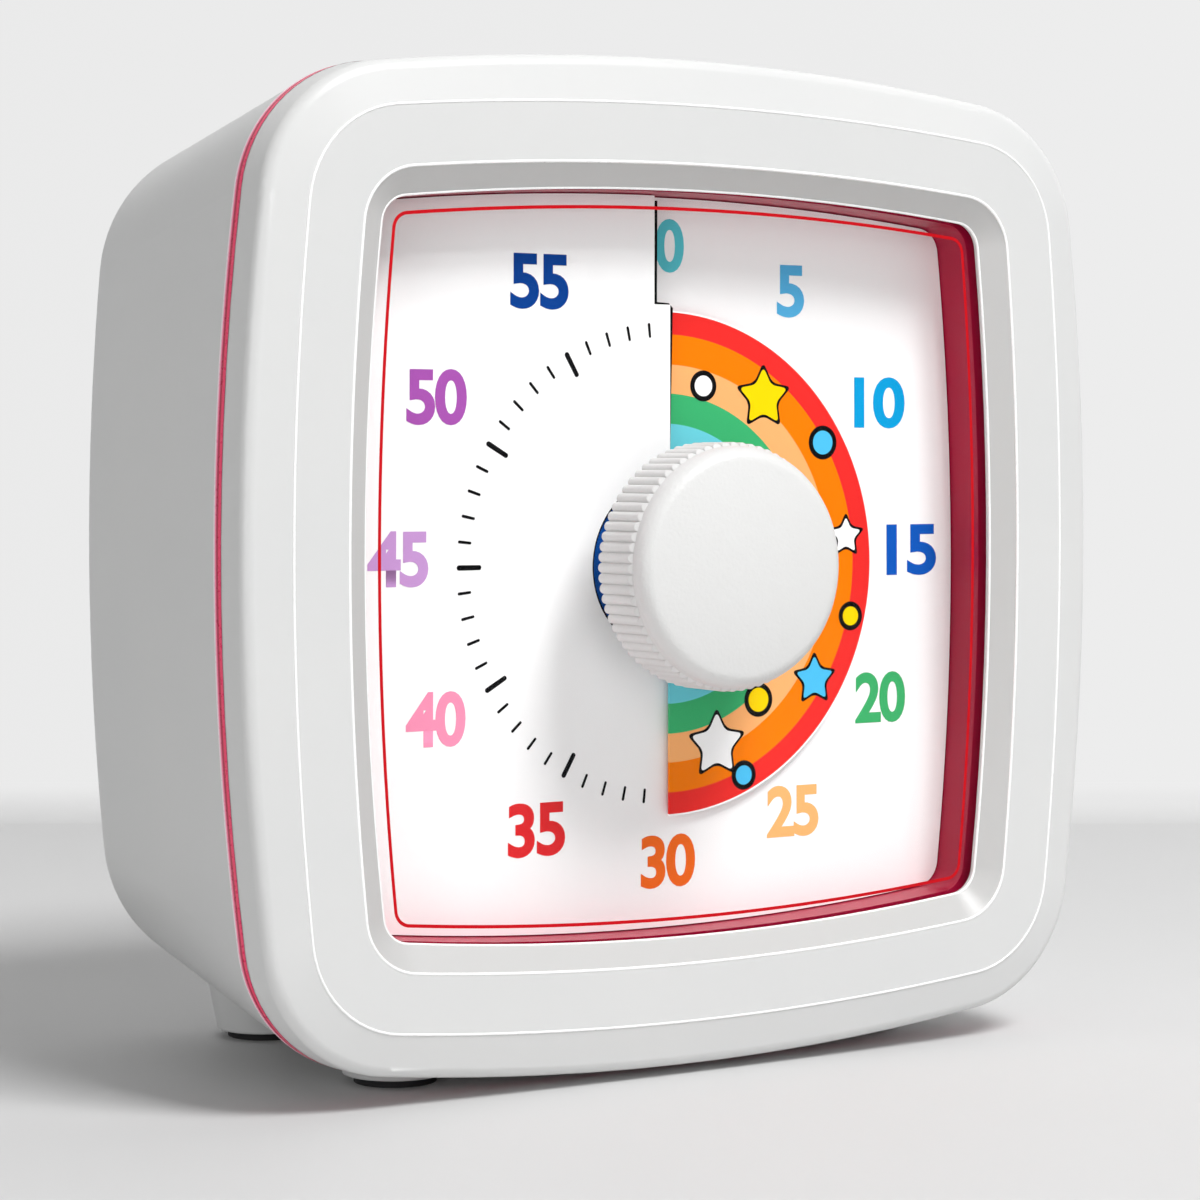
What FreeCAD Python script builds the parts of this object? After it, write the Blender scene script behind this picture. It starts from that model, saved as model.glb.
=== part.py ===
import FreeCAD
import Part
import math
import os

# Square desk countdown timer with a spiral time disc, in millimetres.
# +X points to the viewer's right, +Y from the front to the back and +Z up.
# Each piece is modelled about the middle of the dial, where depth 0 is the dial's mean plane
# and a negative depth is towards the viewer, and stands on its feet only when it is exported.
#
# The white dial sheet is one turn of a shallow ramp, cut at the twelve o'clock line. The time
# disc is one turn of the same ramp with a radial cut, threaded through the sheet's cut, so that
# it lies in front of the sheet from zero to the set minute and behind it for the rest. Turning
# the disc moves it along its own ramp, so the gap to the sheet stays half a pitch.

# General fits
FIT = 0.1                  # gap all round between two fixed pieces that slot together
RUN = 0.05                 # radial gap between a shaft and its bore
SEAT = 0.02                # gap of a piece that is pressed or glued onto another
TURNS = 24                 # sections that one turn of a ramp is drawn with

# Case outline: half-width at the middle of a side, bulge radius of a side, corner radius
CASE_HALF = 40.0
CASE_BULGE_R = 224.0
CASE_CORNER_R = 11.45
SEAM_FLARE = 0.2           # how far the seam stands outside the front shoulder
RIDGE_INSET = 3.72         # shoulder to the ridge of the flat face
RIDGE_BULGE_R = 266.0
RIDGE_CORNER_R = 8.2
FACE_WIDTH = 4.6           # flat face, ridge to its inner edge
FACE_BULGE_R = 262.0
FACE_CORNER_R = 4.7
LIP_SLOPE = 1.93           # inner edge of the flat face to the window lip
LIP_BULGE_R = 234.0
LIP_CORNER_R = 2.3
REAR_TAPER = 4.0           # the back's half-width is this much less than the shoulder's
REAR_BULGE_R = 265.0
REAR_CORNER_R = 12.3
REAR_ROUND = 5.0
SHOULDER_ROUND = 1.1

# Depths of the case
FACE_AHEAD = 6.44          # flat face in front of the dial plane
SHOULDER_DROP = 0.86       # flat face to the shoulder
LIP_DROP = 1.34            # flat face to the window lip
LIP_T = 0.5
LENS_T = 1.2
BEZEL_DEPTH = 4.24
FLANGE_T = 0.7
SHELL_DEPTH = 37.5
SHELL_WALL = 2.0
BEZEL_WALL = 1.8
GROOVE_ROOF = 1.5          # bezel plastic left above its hidden groove
LENS_LAP = 1.1             # lens edge hidden behind the lip
LENS_RIB = 1.4             # bezel rib round the lens
LINER_SETBACK = 0.05       # liner wall stands this far inside the lip

# Dial sheet and time disc
RAMP_PITCH = 1.6
SHEET_T = 0.3
SHEET_HOLE_R = 7.1
LEDGE_WIDTH = 0.9          # ledge of the liner that carries the sheet
FLAP_WIDTH = 1.5           # the outer cut lies this far left of the centre line
FLAP_R = 20.9              # radius beyond which the cut is stepped
DISC_R = 20.5
DISC_T = 0.25
SET_SHARE = 0.5            # share of the hour that is set at rest
HUB_R = 4.2
HUB_LENGTH = 2.6

# Knob, spindle and bush
KNOB_R = 9.5
RIB_COUNT = 72
RIB_HEIGHT = 0.3
KNOB_LENGTH = 6.3
KNOB_GAP = 1.35            # knob's back in front of the lens
KNOB_ROUND = 1.2
KNOB_CROWN = 0.25
KNOB_WALL = 1.4
SLEEVE_R = 3.0
SLEEVE_FLAT = 2.5          # axis to each of the sleeve's two flats
SPINDLE_R = 1.5
SPINDLE_BITE = 4.0         # spindle length inside the knob, from the knob's back
LENS_HOLE_GAP = 0.9        # lens hole outside the sleeve
BUSH_WALL = 1.1
BUSH_FLANGE = 0.9
BUSH_FLANGE_T = 0.3

# Backing plate and its screws
PLATE_AHEAD = 1.8          # free depth between the dial plane's ramp end and the plate
PLATE_T = 2.0
POST_R = 3.8
POST_TOP_X = 24.5
POST_TOP_Z = 25.0
POST_LOW_X = 27.0
POST_LOW_Z = -4.0
BOSS_R = 3.0
BOSS_LENGTH = 4.4
SCREW_R = 1.0
SCREW_LENGTH = 8.6
SCREW_HEAD_R = 2.4
SCREW_HEAD_T = 1.6
SCREW_FLOOR = 5.0          # post plastic under a screw's head
WELL_GAP = 0.2

# Snap hooks of the bezel
HOOK_OFFSET = 15.0
HOOK_WIDTH = 7.0
HOOK_T = 1.2
HOOK_REACH = 6.0           # hook length behind the seam
HOOK_GAP = 0.3
CATCH = 0.7

# Movement box
BOX_LEFT = 18.5
BOX_RIGHT = 18.0
BOX_LOW = 10.0
BOX_HIGH = 18.5
BOX_FLOOR = 1.4
BOX_INSIDE = 9.4           # free depth inside the box
BOX_WALL = 1.2
BOX_SPLIT = 0.5            # share of the free depth where the halves meet
BOX_SCREW_R = 0.9
BOX_SCREW_HEAD_R = 1.7
BOX_SCREW_HEAD_T = 1.0
BOX_BOSS_R = 2.3

# Wheel train
MODULE = 0.25
ADDENDUM = 0.85            # tooth height above the pitch circle, in modules
DEDENDUM = 1.25
TOOTH_SHARE = 0.8          # tooth width over half the pitch, the rest is backlash
TIP_SHARE = 0.4
MESH_EASE = 0.03           # added to each theoretical distance between axes
LEAVES = 8                 # teeth of every pinion
CLUTCH_TEETH = 64
THIRD_TEETH = 60
SECOND_TEETH = 48
MIDDLE_TEETH = 40
THIRD_ANGLE = 20.0
SECOND_ANGLE = 125.0
MIDDLE_ANGLE = 170.0
ROTOR_ANGLE = 215.0
WHEEL_T = 0.7
PINION_OVERLAP = 0.25      # pinion stands past its wheel's mate at both faces
ARBOR_R = 0.5
PIVOT_DEPTH = 0.9
PIVOT_FLOAT = 0.1
CLUTCH_LEVEL = 0.6         # inner face of the box to the clutch wheel
LEVEL_STEP = 1.5           # between the levels of the other wheels
CLUTCH_LIFT = 2.35         # clutch wheel to the third wheel
CLIP_R = 2.7
CLIP_T = 0.4
SPRING_R = 4.0
SPRING_T = 0.2
SPRING_RISE = 0.5

# Motor
MAGNET_R = 2.4
MAGNET_T = 1.5
MAGNET_LIFT = 0.6          # middle wheel to the magnet
STATOR_GAP = 0.4
STATOR_T = 0.8
STATOR_BRIDGE = 3.0        # rotor axis to the right edge of the stator, less the hole
COIL_X = -14.4
COIL_LOW = -2.6
COIL_HIGH = 10.4
COIL_R = 2.1
CORE_R = 0.9
FLANGE_LENGTH = 0.6
ARM_LENGTH = 2.4

# Circuit board
BOARD_WIDTH = 30.0
BOARD_HEIGHT = 12.0
BOARD_T = 1.2
BOARD_GAP = 2.0            # above the movement box
BOARD_LIFT = 2.4
BOARD_SCREW_INSET = 3.2
BOARD_SCREW_R = 0.8
BOARD_HEAD_R = 1.5
BOARD_HEAD_T = 0.9
BOARD_BOSS_R = 1.9
CRYSTAL_R = 1.0
CRYSTAL_LENGTH = 6.0
CHIP_SIDE = 6.0
CHIP_T = 1.4

# Battery bay
CELL_R = 7.25
CELL_LENGTH = 50.5
CELL_NUB_R = 2.6
CELL_NUB = 1.0
CELL_GAP = 0.4
CONTACT_T = 0.4
CONTACT_SIDE = 9.0
CONTACT_SPRING = 3.9
CONTACT_SPRING_R = 3.4
CONTACT_SPRING_TIP_R = 2.2
CONTACT_SPRING_WALL = 0.7
BAY_Z = -19.0
BAY_WALL = 1.3
DOOR_T = 2.05
DOOR_GAP = 0.15            # behind the door
DOOR_EDGE = 0.25           # round the door
DOOR_LEDGE = 1.4           # recess wider than the bay, each side
DOOR_PIN_R = 0.5
DOOR_PIN_LENGTH = 1.1
NOTCH_R = 5.0
NOTCH_DEPTH = 1.1

# Buzzer and alarm switch
BUZZER_X = 12.0
BUZZER_Z = 13.0
BUZZER_R = 9.0
BUZZER_T = 0.5
BUZZER_RING_H = 1.8
BUZZER_RING_T = 1.0
SOUND_R = 0.75
SOUND_RING_R = 3.6
SOUND_COUNT = 6
SWITCH_X = -14.0
SWITCH_Z = 13.0
SWITCH_LENGTH = 13.0
SWITCH_HEIGHT = 6.4
SWITCH_DEPTH = 5.0
SLIDER_LENGTH = 3.6
SLIDER_HEIGHT = 3.0
SLIDER_PROUD = 0.8
SLIDER_TRAVEL = 4.0
SLIDER_FOOT = 1.6          # foot of the slider under the back wall
SLIDER_GAP = 0.2

# Feet
FOOT_DROP = 0.6            # feet below the case's lowest point
FOOT_X = 22.0
FOOT_FRONT = 6.5           # seam to the front pair
FOOT_REAR = 7.5            # back face to the rear pair
LEG_R = 4.2
LEG_TOP_R = 6.0
LEG_HEIGHT = 9.0
PAD_R = 3.3
PAD_T = 1.5
PAD_SUNK = 0.8

# What follows from the sizes above
V = FreeCAD.Vector
DEEP = V(0, 1, 0)

FACE_Y = -FACE_AHEAD
SHOULDER_Y = FACE_Y + SHOULDER_DROP
LIP_Y = FACE_Y + LIP_DROP
LENS_Y = LIP_Y + LIP_T
LENS_BACK_Y = LENS_Y + LENS_T
SEAM_Y = FACE_Y + BEZEL_DEPTH
SHELL_Y = SEAM_Y + FLANGE_T
REAR_Y = SHELL_Y + SHELL_DEPTH
REAR_INNER_Y = REAR_Y - SHELL_WALL
PLATE_Y = RAMP_PITCH / 2 + PLATE_AHEAD
PLATE_BACK_Y = PLATE_Y + PLATE_T
KNOB_BACK_Y = LENS_Y - KNOB_GAP
KNOB_FRONT_Y = KNOB_BACK_Y - KNOB_LENGTH
BOX_Y = PLATE_BACK_Y
BOX_IN_Y = BOX_Y + BOX_FLOOR
BOX_BACK_IN_Y = BOX_IN_Y + BOX_INSIDE
BOX_BACK_Y = BOX_BACK_IN_Y + BOX_FLOOR
BOX_SPLIT_Y = BOX_IN_Y + BOX_INSIDE * BOX_SPLIT
CLUTCH_Y = BOX_IN_Y + CLUTCH_LEVEL
THIRD_Y = CLUTCH_Y + CLUTCH_LIFT
SECOND_Y = THIRD_Y + LEVEL_STEP
MIDDLE_Y = SECOND_Y + LEVEL_STEP
CLIP_Y = CLUTCH_Y + WHEEL_T + SPRING_RISE + RUN
MAGNET_Y = MIDDLE_Y + WHEEL_T + MAGNET_LIFT
STATOR_Y = MAGNET_Y + (MAGNET_T - STATOR_T) / 2
POST_Y = PLATE_BACK_Y + BOSS_LENGTH
HEAD_Y = POST_Y + SCREW_FLOOR
RECESS_Y = REAR_Y - DOOR_T - DOOR_GAP
CELL_Y = RECESS_Y - CELL_GAP - CELL_R
BAY_FLOOR_Y = CELL_Y - CELL_R - CELL_GAP
BAY_HALF = (CELL_LENGTH + CONTACT_SPRING + 2 * CONTACT_T) / 2
BAY_RISE = CELL_R + CELL_GAP
DOOR_PIVOT_Y = REAR_Y - DOOR_T / 2
DOOR_PIVOT_Z = BAY_Z - BAY_RISE - DOOR_LEDGE + DOOR_EDGE + DOOR_T / 2
SLIDER_BACK_Y = REAR_Y + SLIDER_PROUD

SHOULDER = (CASE_HALF, CASE_BULGE_R, CASE_CORNER_R)
SEAM = (CASE_HALF + SEAM_FLARE, CASE_BULGE_R, CASE_CORNER_R)
RIDGE = (CASE_HALF - RIDGE_INSET, RIDGE_BULGE_R, RIDGE_CORNER_R)
FACE_IN = (RIDGE[0] - FACE_WIDTH, FACE_BULGE_R, FACE_CORNER_R)
LIP = (FACE_IN[0] - LIP_SLOPE, LIP_BULGE_R, LIP_CORNER_R)
REAR = (CASE_HALF - REAR_TAPER, REAR_BULGE_R, REAR_CORNER_R)

SHIFT_Y = -(KNOB_FRONT_Y + SLIDER_BACK_Y) / 2
SHIFT_Z = CASE_HALF + SEAM_FLARE + FOOT_DROP
SMALL_CORNER = 0.4         # least radius of an outline that is moved inwards
SHEET_REACH = 1.5 * CASE_HALF   # radius that clears every corner of the dial


def inset(outline, gap):
    """The outline moved inwards by a gap, or outwards by a negative one."""
    half, bulge_r, corner_r = outline
    return (half - gap, bulge_r - gap, max(corner_r - gap, SMALL_CORNER))


def between(first, last, share):
    """The outline at a share of the way from the first one to the last one."""
    return tuple(a + (b - a) * share for a, b in zip(first, last))


def side_reach(outline, offset):
    """Distance from the dial axis to a side, at an offset from the side's middle."""
    half, bulge_r, corner_r = outline
    return half - bulge_r + math.sqrt(bulge_r ** 2 - offset ** 2)


def outline_wire(outline, depth):
    """Closed wire of four bulged sides and four corner arcs, all tangent to each other."""
    half, bulge_r, corner_r = outline
    side_centre = half - bulge_r
    reach = bulge_r - corner_r
    corner = (side_centre + math.sqrt(2 * reach ** 2 - side_centre ** 2)) / 2
    swing = math.atan2(corner, corner - side_centre)
    edges = []
    for quarter in range(4):
        turn = quarter * math.pi / 2
        arcs = (
            (side_centre, 0.0, bulge_r, -swing, swing),
            (corner, corner, corner_r, swing, math.pi / 2 - swing),
        )
        for centre_x, centre_z, radius, start, end in arcs:
            points = []
            for angle in (start, (start + end) / 2, end):
                x = centre_x + radius * math.cos(angle)
                z = centre_z + radius * math.sin(angle)
                points.append(V(x * math.cos(turn) - z * math.sin(turn), depth,
                                x * math.sin(turn) + z * math.cos(turn)))
            edges.append(Part.Arc(*points).toShape())
    return Part.Wire(Part.__sortEdges__(edges))


def prism(outline, depth, depth_end):
    """Straight block of an outline between two depths."""
    face = Part.Face(outline_wire(outline, depth))
    return face.extrude(V(0, depth_end - depth, 0))


def taper(outline, depth, outline_end, depth_end):
    """Block that changes from one outline to another between two depths."""
    return Part.makeLoft([outline_wire(outline, depth), outline_wire(outline_end, depth_end)], True, True)


def rod(radius, depth, depth_end, x=0.0, z=0.0):
    """Round bar along the depth axis."""
    return Part.makeCylinder(radius, depth_end - depth, V(x, depth, z), DEEP)


def tube(radius, bore, depth, depth_end, x=0.0, z=0.0):
    """Round bar along the depth axis with a bore right through it."""
    return rod(radius, depth, depth_end, x, z).cut(rod(bore, depth - 1, depth_end + 1, x, z))


def block(x, x_end, depth, depth_end, z, z_end):
    """Box between two corners."""
    return Part.makeBox(x_end - x, depth_end - depth, z_end - z, V(x, depth, z))


def spun(shape, degrees):
    """The shape turned about the dial axis, clockwise as seen from the front."""
    turned = shape.copy()
    turned.rotate(V(0, 0, 0), DEEP, degrees)
    return turned


def polar(radius, angle, x=0.0, z=0.0):
    """Place at a radius and an angle in degrees from +X towards +Z."""
    return (x + radius * math.cos(math.radians(angle)), z + radius * math.sin(math.radians(angle)))


def edges_at(shape, depth):
    """Edges of a shape that lie wholly at one depth."""
    found = []
    for edge in shape.Edges:
        box = edge.BoundBox
        if abs(box.YMin - depth) < 0.01 and abs(box.YMax - depth) < 0.01:
            found.append(edge)
    return found


def ramp_solid(inner_r, outer_r, start_share, depth, thickness):
    """One clockwise turn round the dial axis that comes a pitch nearer to the viewer.

    Its front face starts at a depth, and it is thick towards the back.
    """
    sections = []
    for step in range(TURNS + 1):
        share = step / TURNS
        angle = 2 * math.pi * (start_share + share)
        front = depth - RAMP_PITCH * share
        corners = [V(radius * math.sin(angle), y, radius * math.cos(angle))
                   for radius, y in ((inner_r, front), (outer_r, front),
                                     (outer_r, front + thickness), (inner_r, front + thickness))]
        sections.append(Part.makePolygon(corners + corners[:1]))
    return Part.makeLoft(sections, True, False)


# Case

def shell_outline(depth):
    """Outside of the rear shell at a depth, before its back edge is rounded."""
    return between(SEAM, REAR, (depth - SHELL_Y) / SHELL_DEPTH)


def hook_place():
    """Distance from the dial axis to the outer face of a snap hook."""
    tip = SHELL_Y + HOOK_REACH
    return side_reach(inset(shell_outline(tip), SHELL_WALL), HOOK_OFFSET + HOOK_WIDTH / 2) - HOOK_GAP


def hook_bars(grow, depth, depth_end, reach_in, reach_out):
    """The eight bars in the places of the snap hooks, grown all round by a gap."""
    outer = hook_place()
    bars = []
    for quarter in range(4):
        for side in (-1, 1):
            middle = side * HOOK_OFFSET
            bar = block(middle - HOOK_WIDTH / 2 - grow, middle + HOOK_WIDTH / 2 + grow, depth, depth_end,
                        outer - reach_in - grow, outer + reach_out + grow)
            bars.append(spun(bar, 90 * quarter))
    return bars


def front_bezel():
    """Front frame: sloped shoulder, flat face, window lip, rebate for the lens and snap hooks."""
    body = taper(SEAM, SEAM_Y, SHOULDER, SHOULDER_Y).fuse(taper(SHOULDER, SHOULDER_Y, RIDGE, FACE_Y))
    body = body.makeFillet(SHOULDER_ROUND, edges_at(body, SHOULDER_Y))
    lens = inset(LIP, -LENS_LAP)
    slope = LIP_SLOPE / LIP_DROP
    wide = (FACE_IN[0] + slope, FACE_BULGE_R, FACE_CORNER_R + slope)
    body = body.cut(taper(wide, FACE_Y - 1, LIP, LIP_Y))
    body = body.cut(prism(LIP, LIP_Y - 0.1, SEAM_Y + 1))
    body = body.cut(prism(inset(lens, -FIT), LENS_Y, SEAM_Y + 1))
    roof_y = FACE_Y + GROOVE_ROOF + SHOULDER_DROP / 2
    groove = prism(inset(SHOULDER, BEZEL_WALL), roof_y, SEAM_Y + 1)
    groove = groove.cut(prism(inset(lens, -FIT - LENS_RIB), roof_y - 1, SEAM_Y + 2))
    body = body.cut(groove)
    tip = SHELL_Y + HOOK_REACH
    hooks = hook_bars(0.0, roof_y - 0.3, tip, HOOK_T, 0.0)
    catches = hook_bars(0.0, tip - 2 * CATCH, tip, HOOK_T, CATCH)
    return body.fuse(hooks + catches).removeSplitter()


def crimson_liner():
    """Flange squeezed in the seam, the inner wall round the dial and the ledge under the sheet."""
    lens = inset(LIP, -LENS_LAP)
    bore = inset(LIP, LINER_SETBACK)
    flange = prism(SEAM, SEAM_Y, SHELL_Y)
    wall = prism(lens, LENS_BACK_Y, PLATE_Y)
    body = flange.fuse(wall).cut(prism(bore, LENS_BACK_Y - 1, PLATE_Y + 1))
    for bar in hook_bars(FIT, SEAM_Y - 1, SHELL_Y + 1, HOOK_T, CATCH):
        body = body.cut(bar)
    ring = prism(bore, -RAMP_PITCH, PLATE_Y).cut(prism(inset(bore, LEDGE_WIDTH), -RAMP_PITCH - 1, PLATE_Y + 1))
    sheet_back = RAMP_PITCH / 2 + SHEET_T / 2 + SEAT
    ledge = ring.common(ramp_solid(SHEET_HOLE_R, SHEET_REACH, 0.0, sheet_back, 3 * RAMP_PITCH))
    ledge = ledge.cut(block(-FLAP_WIDTH - FIT, FIT, -2 * RAMP_PITCH, sheet_back, FLAP_R, CASE_HALF))
    return body.fuse(ledge)


def window_lens():
    """Clear front window with a round hole for the knob's sleeve."""
    lens = prism(inset(LIP, -LENS_LAP), LENS_Y, LENS_BACK_Y)
    return lens.cut(rod(SLEEVE_R + LENS_HOLE_GAP, LENS_Y - 1, LENS_BACK_Y + 1))


def shell_posts():
    """Places of the four screw posts."""
    return ((POST_TOP_X, POST_TOP_Z), (-POST_TOP_X, POST_TOP_Z),
            (POST_LOW_X, POST_LOW_Z), (-POST_LOW_X, POST_LOW_Z))


def foot_places():
    """Places of the four feet: side position and depth."""
    front = SHELL_Y + FOOT_FRONT
    rear = REAR_Y - FOOT_REAR
    return tuple((x, y) for x in (-FOOT_X, FOOT_X) for y in (front, rear))


def rear_shell():
    """Deep rear half: tapered walls, screw posts, battery bay, buzzer ring, switch slot and legs."""
    outside = taper(SEAM, SHELL_Y, REAR, REAR_Y)
    outside = outside.makeFillet(REAR_ROUND, edges_at(outside, REAR_Y))
    floor_z = -SHIFT_Z
    for x, y in foot_places():
        leg = Part.makeCone(LEG_R, LEG_TOP_R, LEG_HEIGHT, V(x, y, floor_z + PAD_T - PAD_SUNK))
        outside = outside.fuse(leg)
    inner_rear = inset(REAR, SHELL_WALL)
    inside = taper(inset(SEAM, SHELL_WALL), SHELL_Y, inner_rear, REAR_INNER_Y)
    inside = inside.makeFillet(REAR_ROUND - SHELL_WALL, edges_at(inside, REAR_INNER_Y))
    inside = inside.fuse(prism(inset(SEAM, SHELL_WALL), SHELL_Y - 1, SHELL_Y))
    body = outside.cut(inside)

    recess_half = BAY_HALF + DOOR_LEDGE
    recess_rise = BAY_RISE + DOOR_LEDGE
    bay = block(-recess_half - BAY_WALL, recess_half + BAY_WALL, BAY_FLOOR_Y - BAY_WALL, REAR_INNER_Y + 0.5,
                BAY_Z - recess_rise - BAY_WALL, BAY_Z + recess_rise + BAY_WALL)
    posts = [rod(POST_R, POST_Y, REAR_INNER_Y + 0.5, x, z) for x, z in shell_posts()]
    ring = tube(BUZZER_R, BUZZER_R - BUZZER_RING_T, REAR_INNER_Y - BUZZER_RING_H, REAR_INNER_Y + 0.5,
                BUZZER_X, BUZZER_Z)
    body = body.fuse([bay, ring] + posts)

    cuts = [
        block(-BAY_HALF, BAY_HALF, BAY_FLOOR_Y, REAR_Y + 1, BAY_Z - BAY_RISE, BAY_Z + BAY_RISE),
        block(-recess_half, recess_half, RECESS_Y, REAR_Y + 1, BAY_Z - recess_rise, BAY_Z + recess_rise),
        rod(NOTCH_R, REAR_Y - NOTCH_DEPTH, REAR_Y + 1, 0.0, BAY_Z + recess_rise),
        Part.makeCylinder(DOOR_PIN_R + RUN, 2 * (recess_half + DOOR_PIN_LENGTH),
                          V(-recess_half - DOOR_PIN_LENGTH, DOOR_PIVOT_Y, DOOR_PIVOT_Z), V(1, 0, 0)),
    ]
    for x, z in shell_posts():
        cuts.append(rod(SCREW_R + FIT, POST_Y - 1, REAR_Y + 1, x, z))
        cuts.append(rod(SCREW_HEAD_R + WELL_GAP, HEAD_Y, REAR_Y + 1, x, z))
    cuts.append(rod(SOUND_R, REAR_INNER_Y - 1, REAR_Y + 1, BUZZER_X, BUZZER_Z))
    for step in range(SOUND_COUNT):
        x, z = polar(SOUND_RING_R, 360.0 * step / SOUND_COUNT, BUZZER_X, BUZZER_Z)
        cuts.append(rod(SOUND_R, REAR_INNER_Y - 1, REAR_Y + 1, x, z))
    slot = (SLIDER_LENGTH + SLIDER_TRAVEL) / 2 + SLIDER_GAP
    cuts.append(block(SWITCH_X - slot, SWITCH_X + slot, REAR_INNER_Y - 1, REAR_Y + 1,
                      SWITCH_Z - SLIDER_HEIGHT / 2 - SLIDER_GAP, SWITCH_Z + SLIDER_HEIGHT / 2 + SLIDER_GAP))
    for x, y in foot_places():
        cuts.append(Part.makeCylinder(PAD_R + FIT, PAD_T, V(x, y, floor_z)))
    body = body.cut(cuts)
    tip = SHELL_Y + HOOK_REACH
    for pocket in hook_bars(HOOK_GAP / 2, tip - 2 * CATCH, tip, HOOK_T, CATCH):
        body = body.cut(pocket)
    return body


def rubber_feet():
    """Four round pads that the timer stands on."""
    return [Part.makeCylinder(PAD_R, PAD_T, V(x, y, -SHIFT_Z)) for x, y in foot_places()]


def case_screws():
    """Four screws from the back wells into the bosses of the backing plate."""
    screws = []
    for x, z in shell_posts():
        head = rod(SCREW_HEAD_R, HEAD_Y, HEAD_Y + SCREW_HEAD_T, x, z)
        head = head.makeFillet(SCREW_HEAD_T / 3, edges_at(head, HEAD_Y + SCREW_HEAD_T))
        shank = rod(SCREW_R, HEAD_Y - SCREW_LENGTH, HEAD_Y, x, z)
        screws.append(cross_slot(head, SCREW_HEAD_R, HEAD_Y + SCREW_HEAD_T, x, z).fuse(shank))
    return screws


def cross_slot(head, head_r, top, x, z):
    """A screw head with a cross slot sunk into its top."""
    arm = head_r * 0.6
    half = head_r * 0.14
    deep = head_r * 0.3
    across = block(x - arm, x + arm, top - deep, top + 1, z - half, z + half)
    upright = block(x - half, x + half, top - deep, top + 1, z - arm, z + arm)
    return head.cut([across, upright])


# Dial

def dial_sheet():
    """White dial, one turn of a ramp from the back just after zero to the front just before it."""
    bore = inset(LIP, LINER_SETBACK + FIT)
    front_y = RAMP_PITCH / 2 - SHEET_T / 2
    ramp = ramp_solid(SHEET_HOLE_R / 2, SHEET_REACH, 0.0, front_y, SHEET_T)
    room = prism(bore, -2 * RAMP_PITCH, 2 * RAMP_PITCH)
    sheet = ramp.common(room.cut(rod(SHEET_HOLE_R, -3 * RAMP_PITCH, 3 * RAMP_PITCH)))
    sheet = sheet.cut(block(-FLAP_WIDTH, 0, -2 * RAMP_PITCH, 0, FLAP_R, CASE_HALF))
    flap = block(-FLAP_WIDTH, 0, front_y, front_y + SHEET_T, FLAP_R, CASE_HALF)
    return sheet.fuse(flap.common(room))


def time_disc():
    """Coloured disc, one turn of the same ramp, cut along the set minute."""
    ramp = ramp_solid(HUB_R / 2, DISC_R + 1, SET_SHARE, RAMP_PITCH / 2 - DISC_T / 2, DISC_T)
    return ramp.common(tube(DISC_R, HUB_R + SEAT, -2 * RAMP_PITCH, 2 * RAMP_PITCH))


def sleeve_bar(grow, depth, depth_end):
    """The knob's sleeve as a round bar with two flats, grown all round by a gap."""
    bar = rod(SLEEVE_R + grow, depth, depth_end)
    flat = SLEEVE_FLAT + grow
    reach = SLEEVE_R + 1
    return bar.common(block(-reach, reach, depth, depth_end, -flat, flat))


def disc_hub():
    """Hub of the time disc, keyed to the knob's sleeve and free to move along it."""
    hub = rod(HUB_R, -HUB_LENGTH / 2, HUB_LENGTH / 2)
    return hub.cut(sleeve_bar(RUN, -HUB_LENGTH, HUB_LENGTH))


def ribbed_ring(depth, depth_end):
    """Solid ring of rounded ribs that stand out of the knob's skirt."""
    half_step = math.pi / RIB_COUNT
    edges = []
    for rib in range(RIB_COUNT):
        middle = 2 * half_step * rib
        points = []
        for angle, radius in ((middle - half_step, KNOB_R - RIB_HEIGHT / 3), (middle, KNOB_R + RIB_HEIGHT),
                              (middle + half_step, KNOB_R - RIB_HEIGHT / 3)):
            points.append(V(radius * math.sin(angle), depth, radius * math.cos(angle)))
        edges.append(Part.Arc(*points).toShape())
    return Part.Face(Part.Wire(edges)).extrude(V(0, depth_end - depth, 0))


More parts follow.
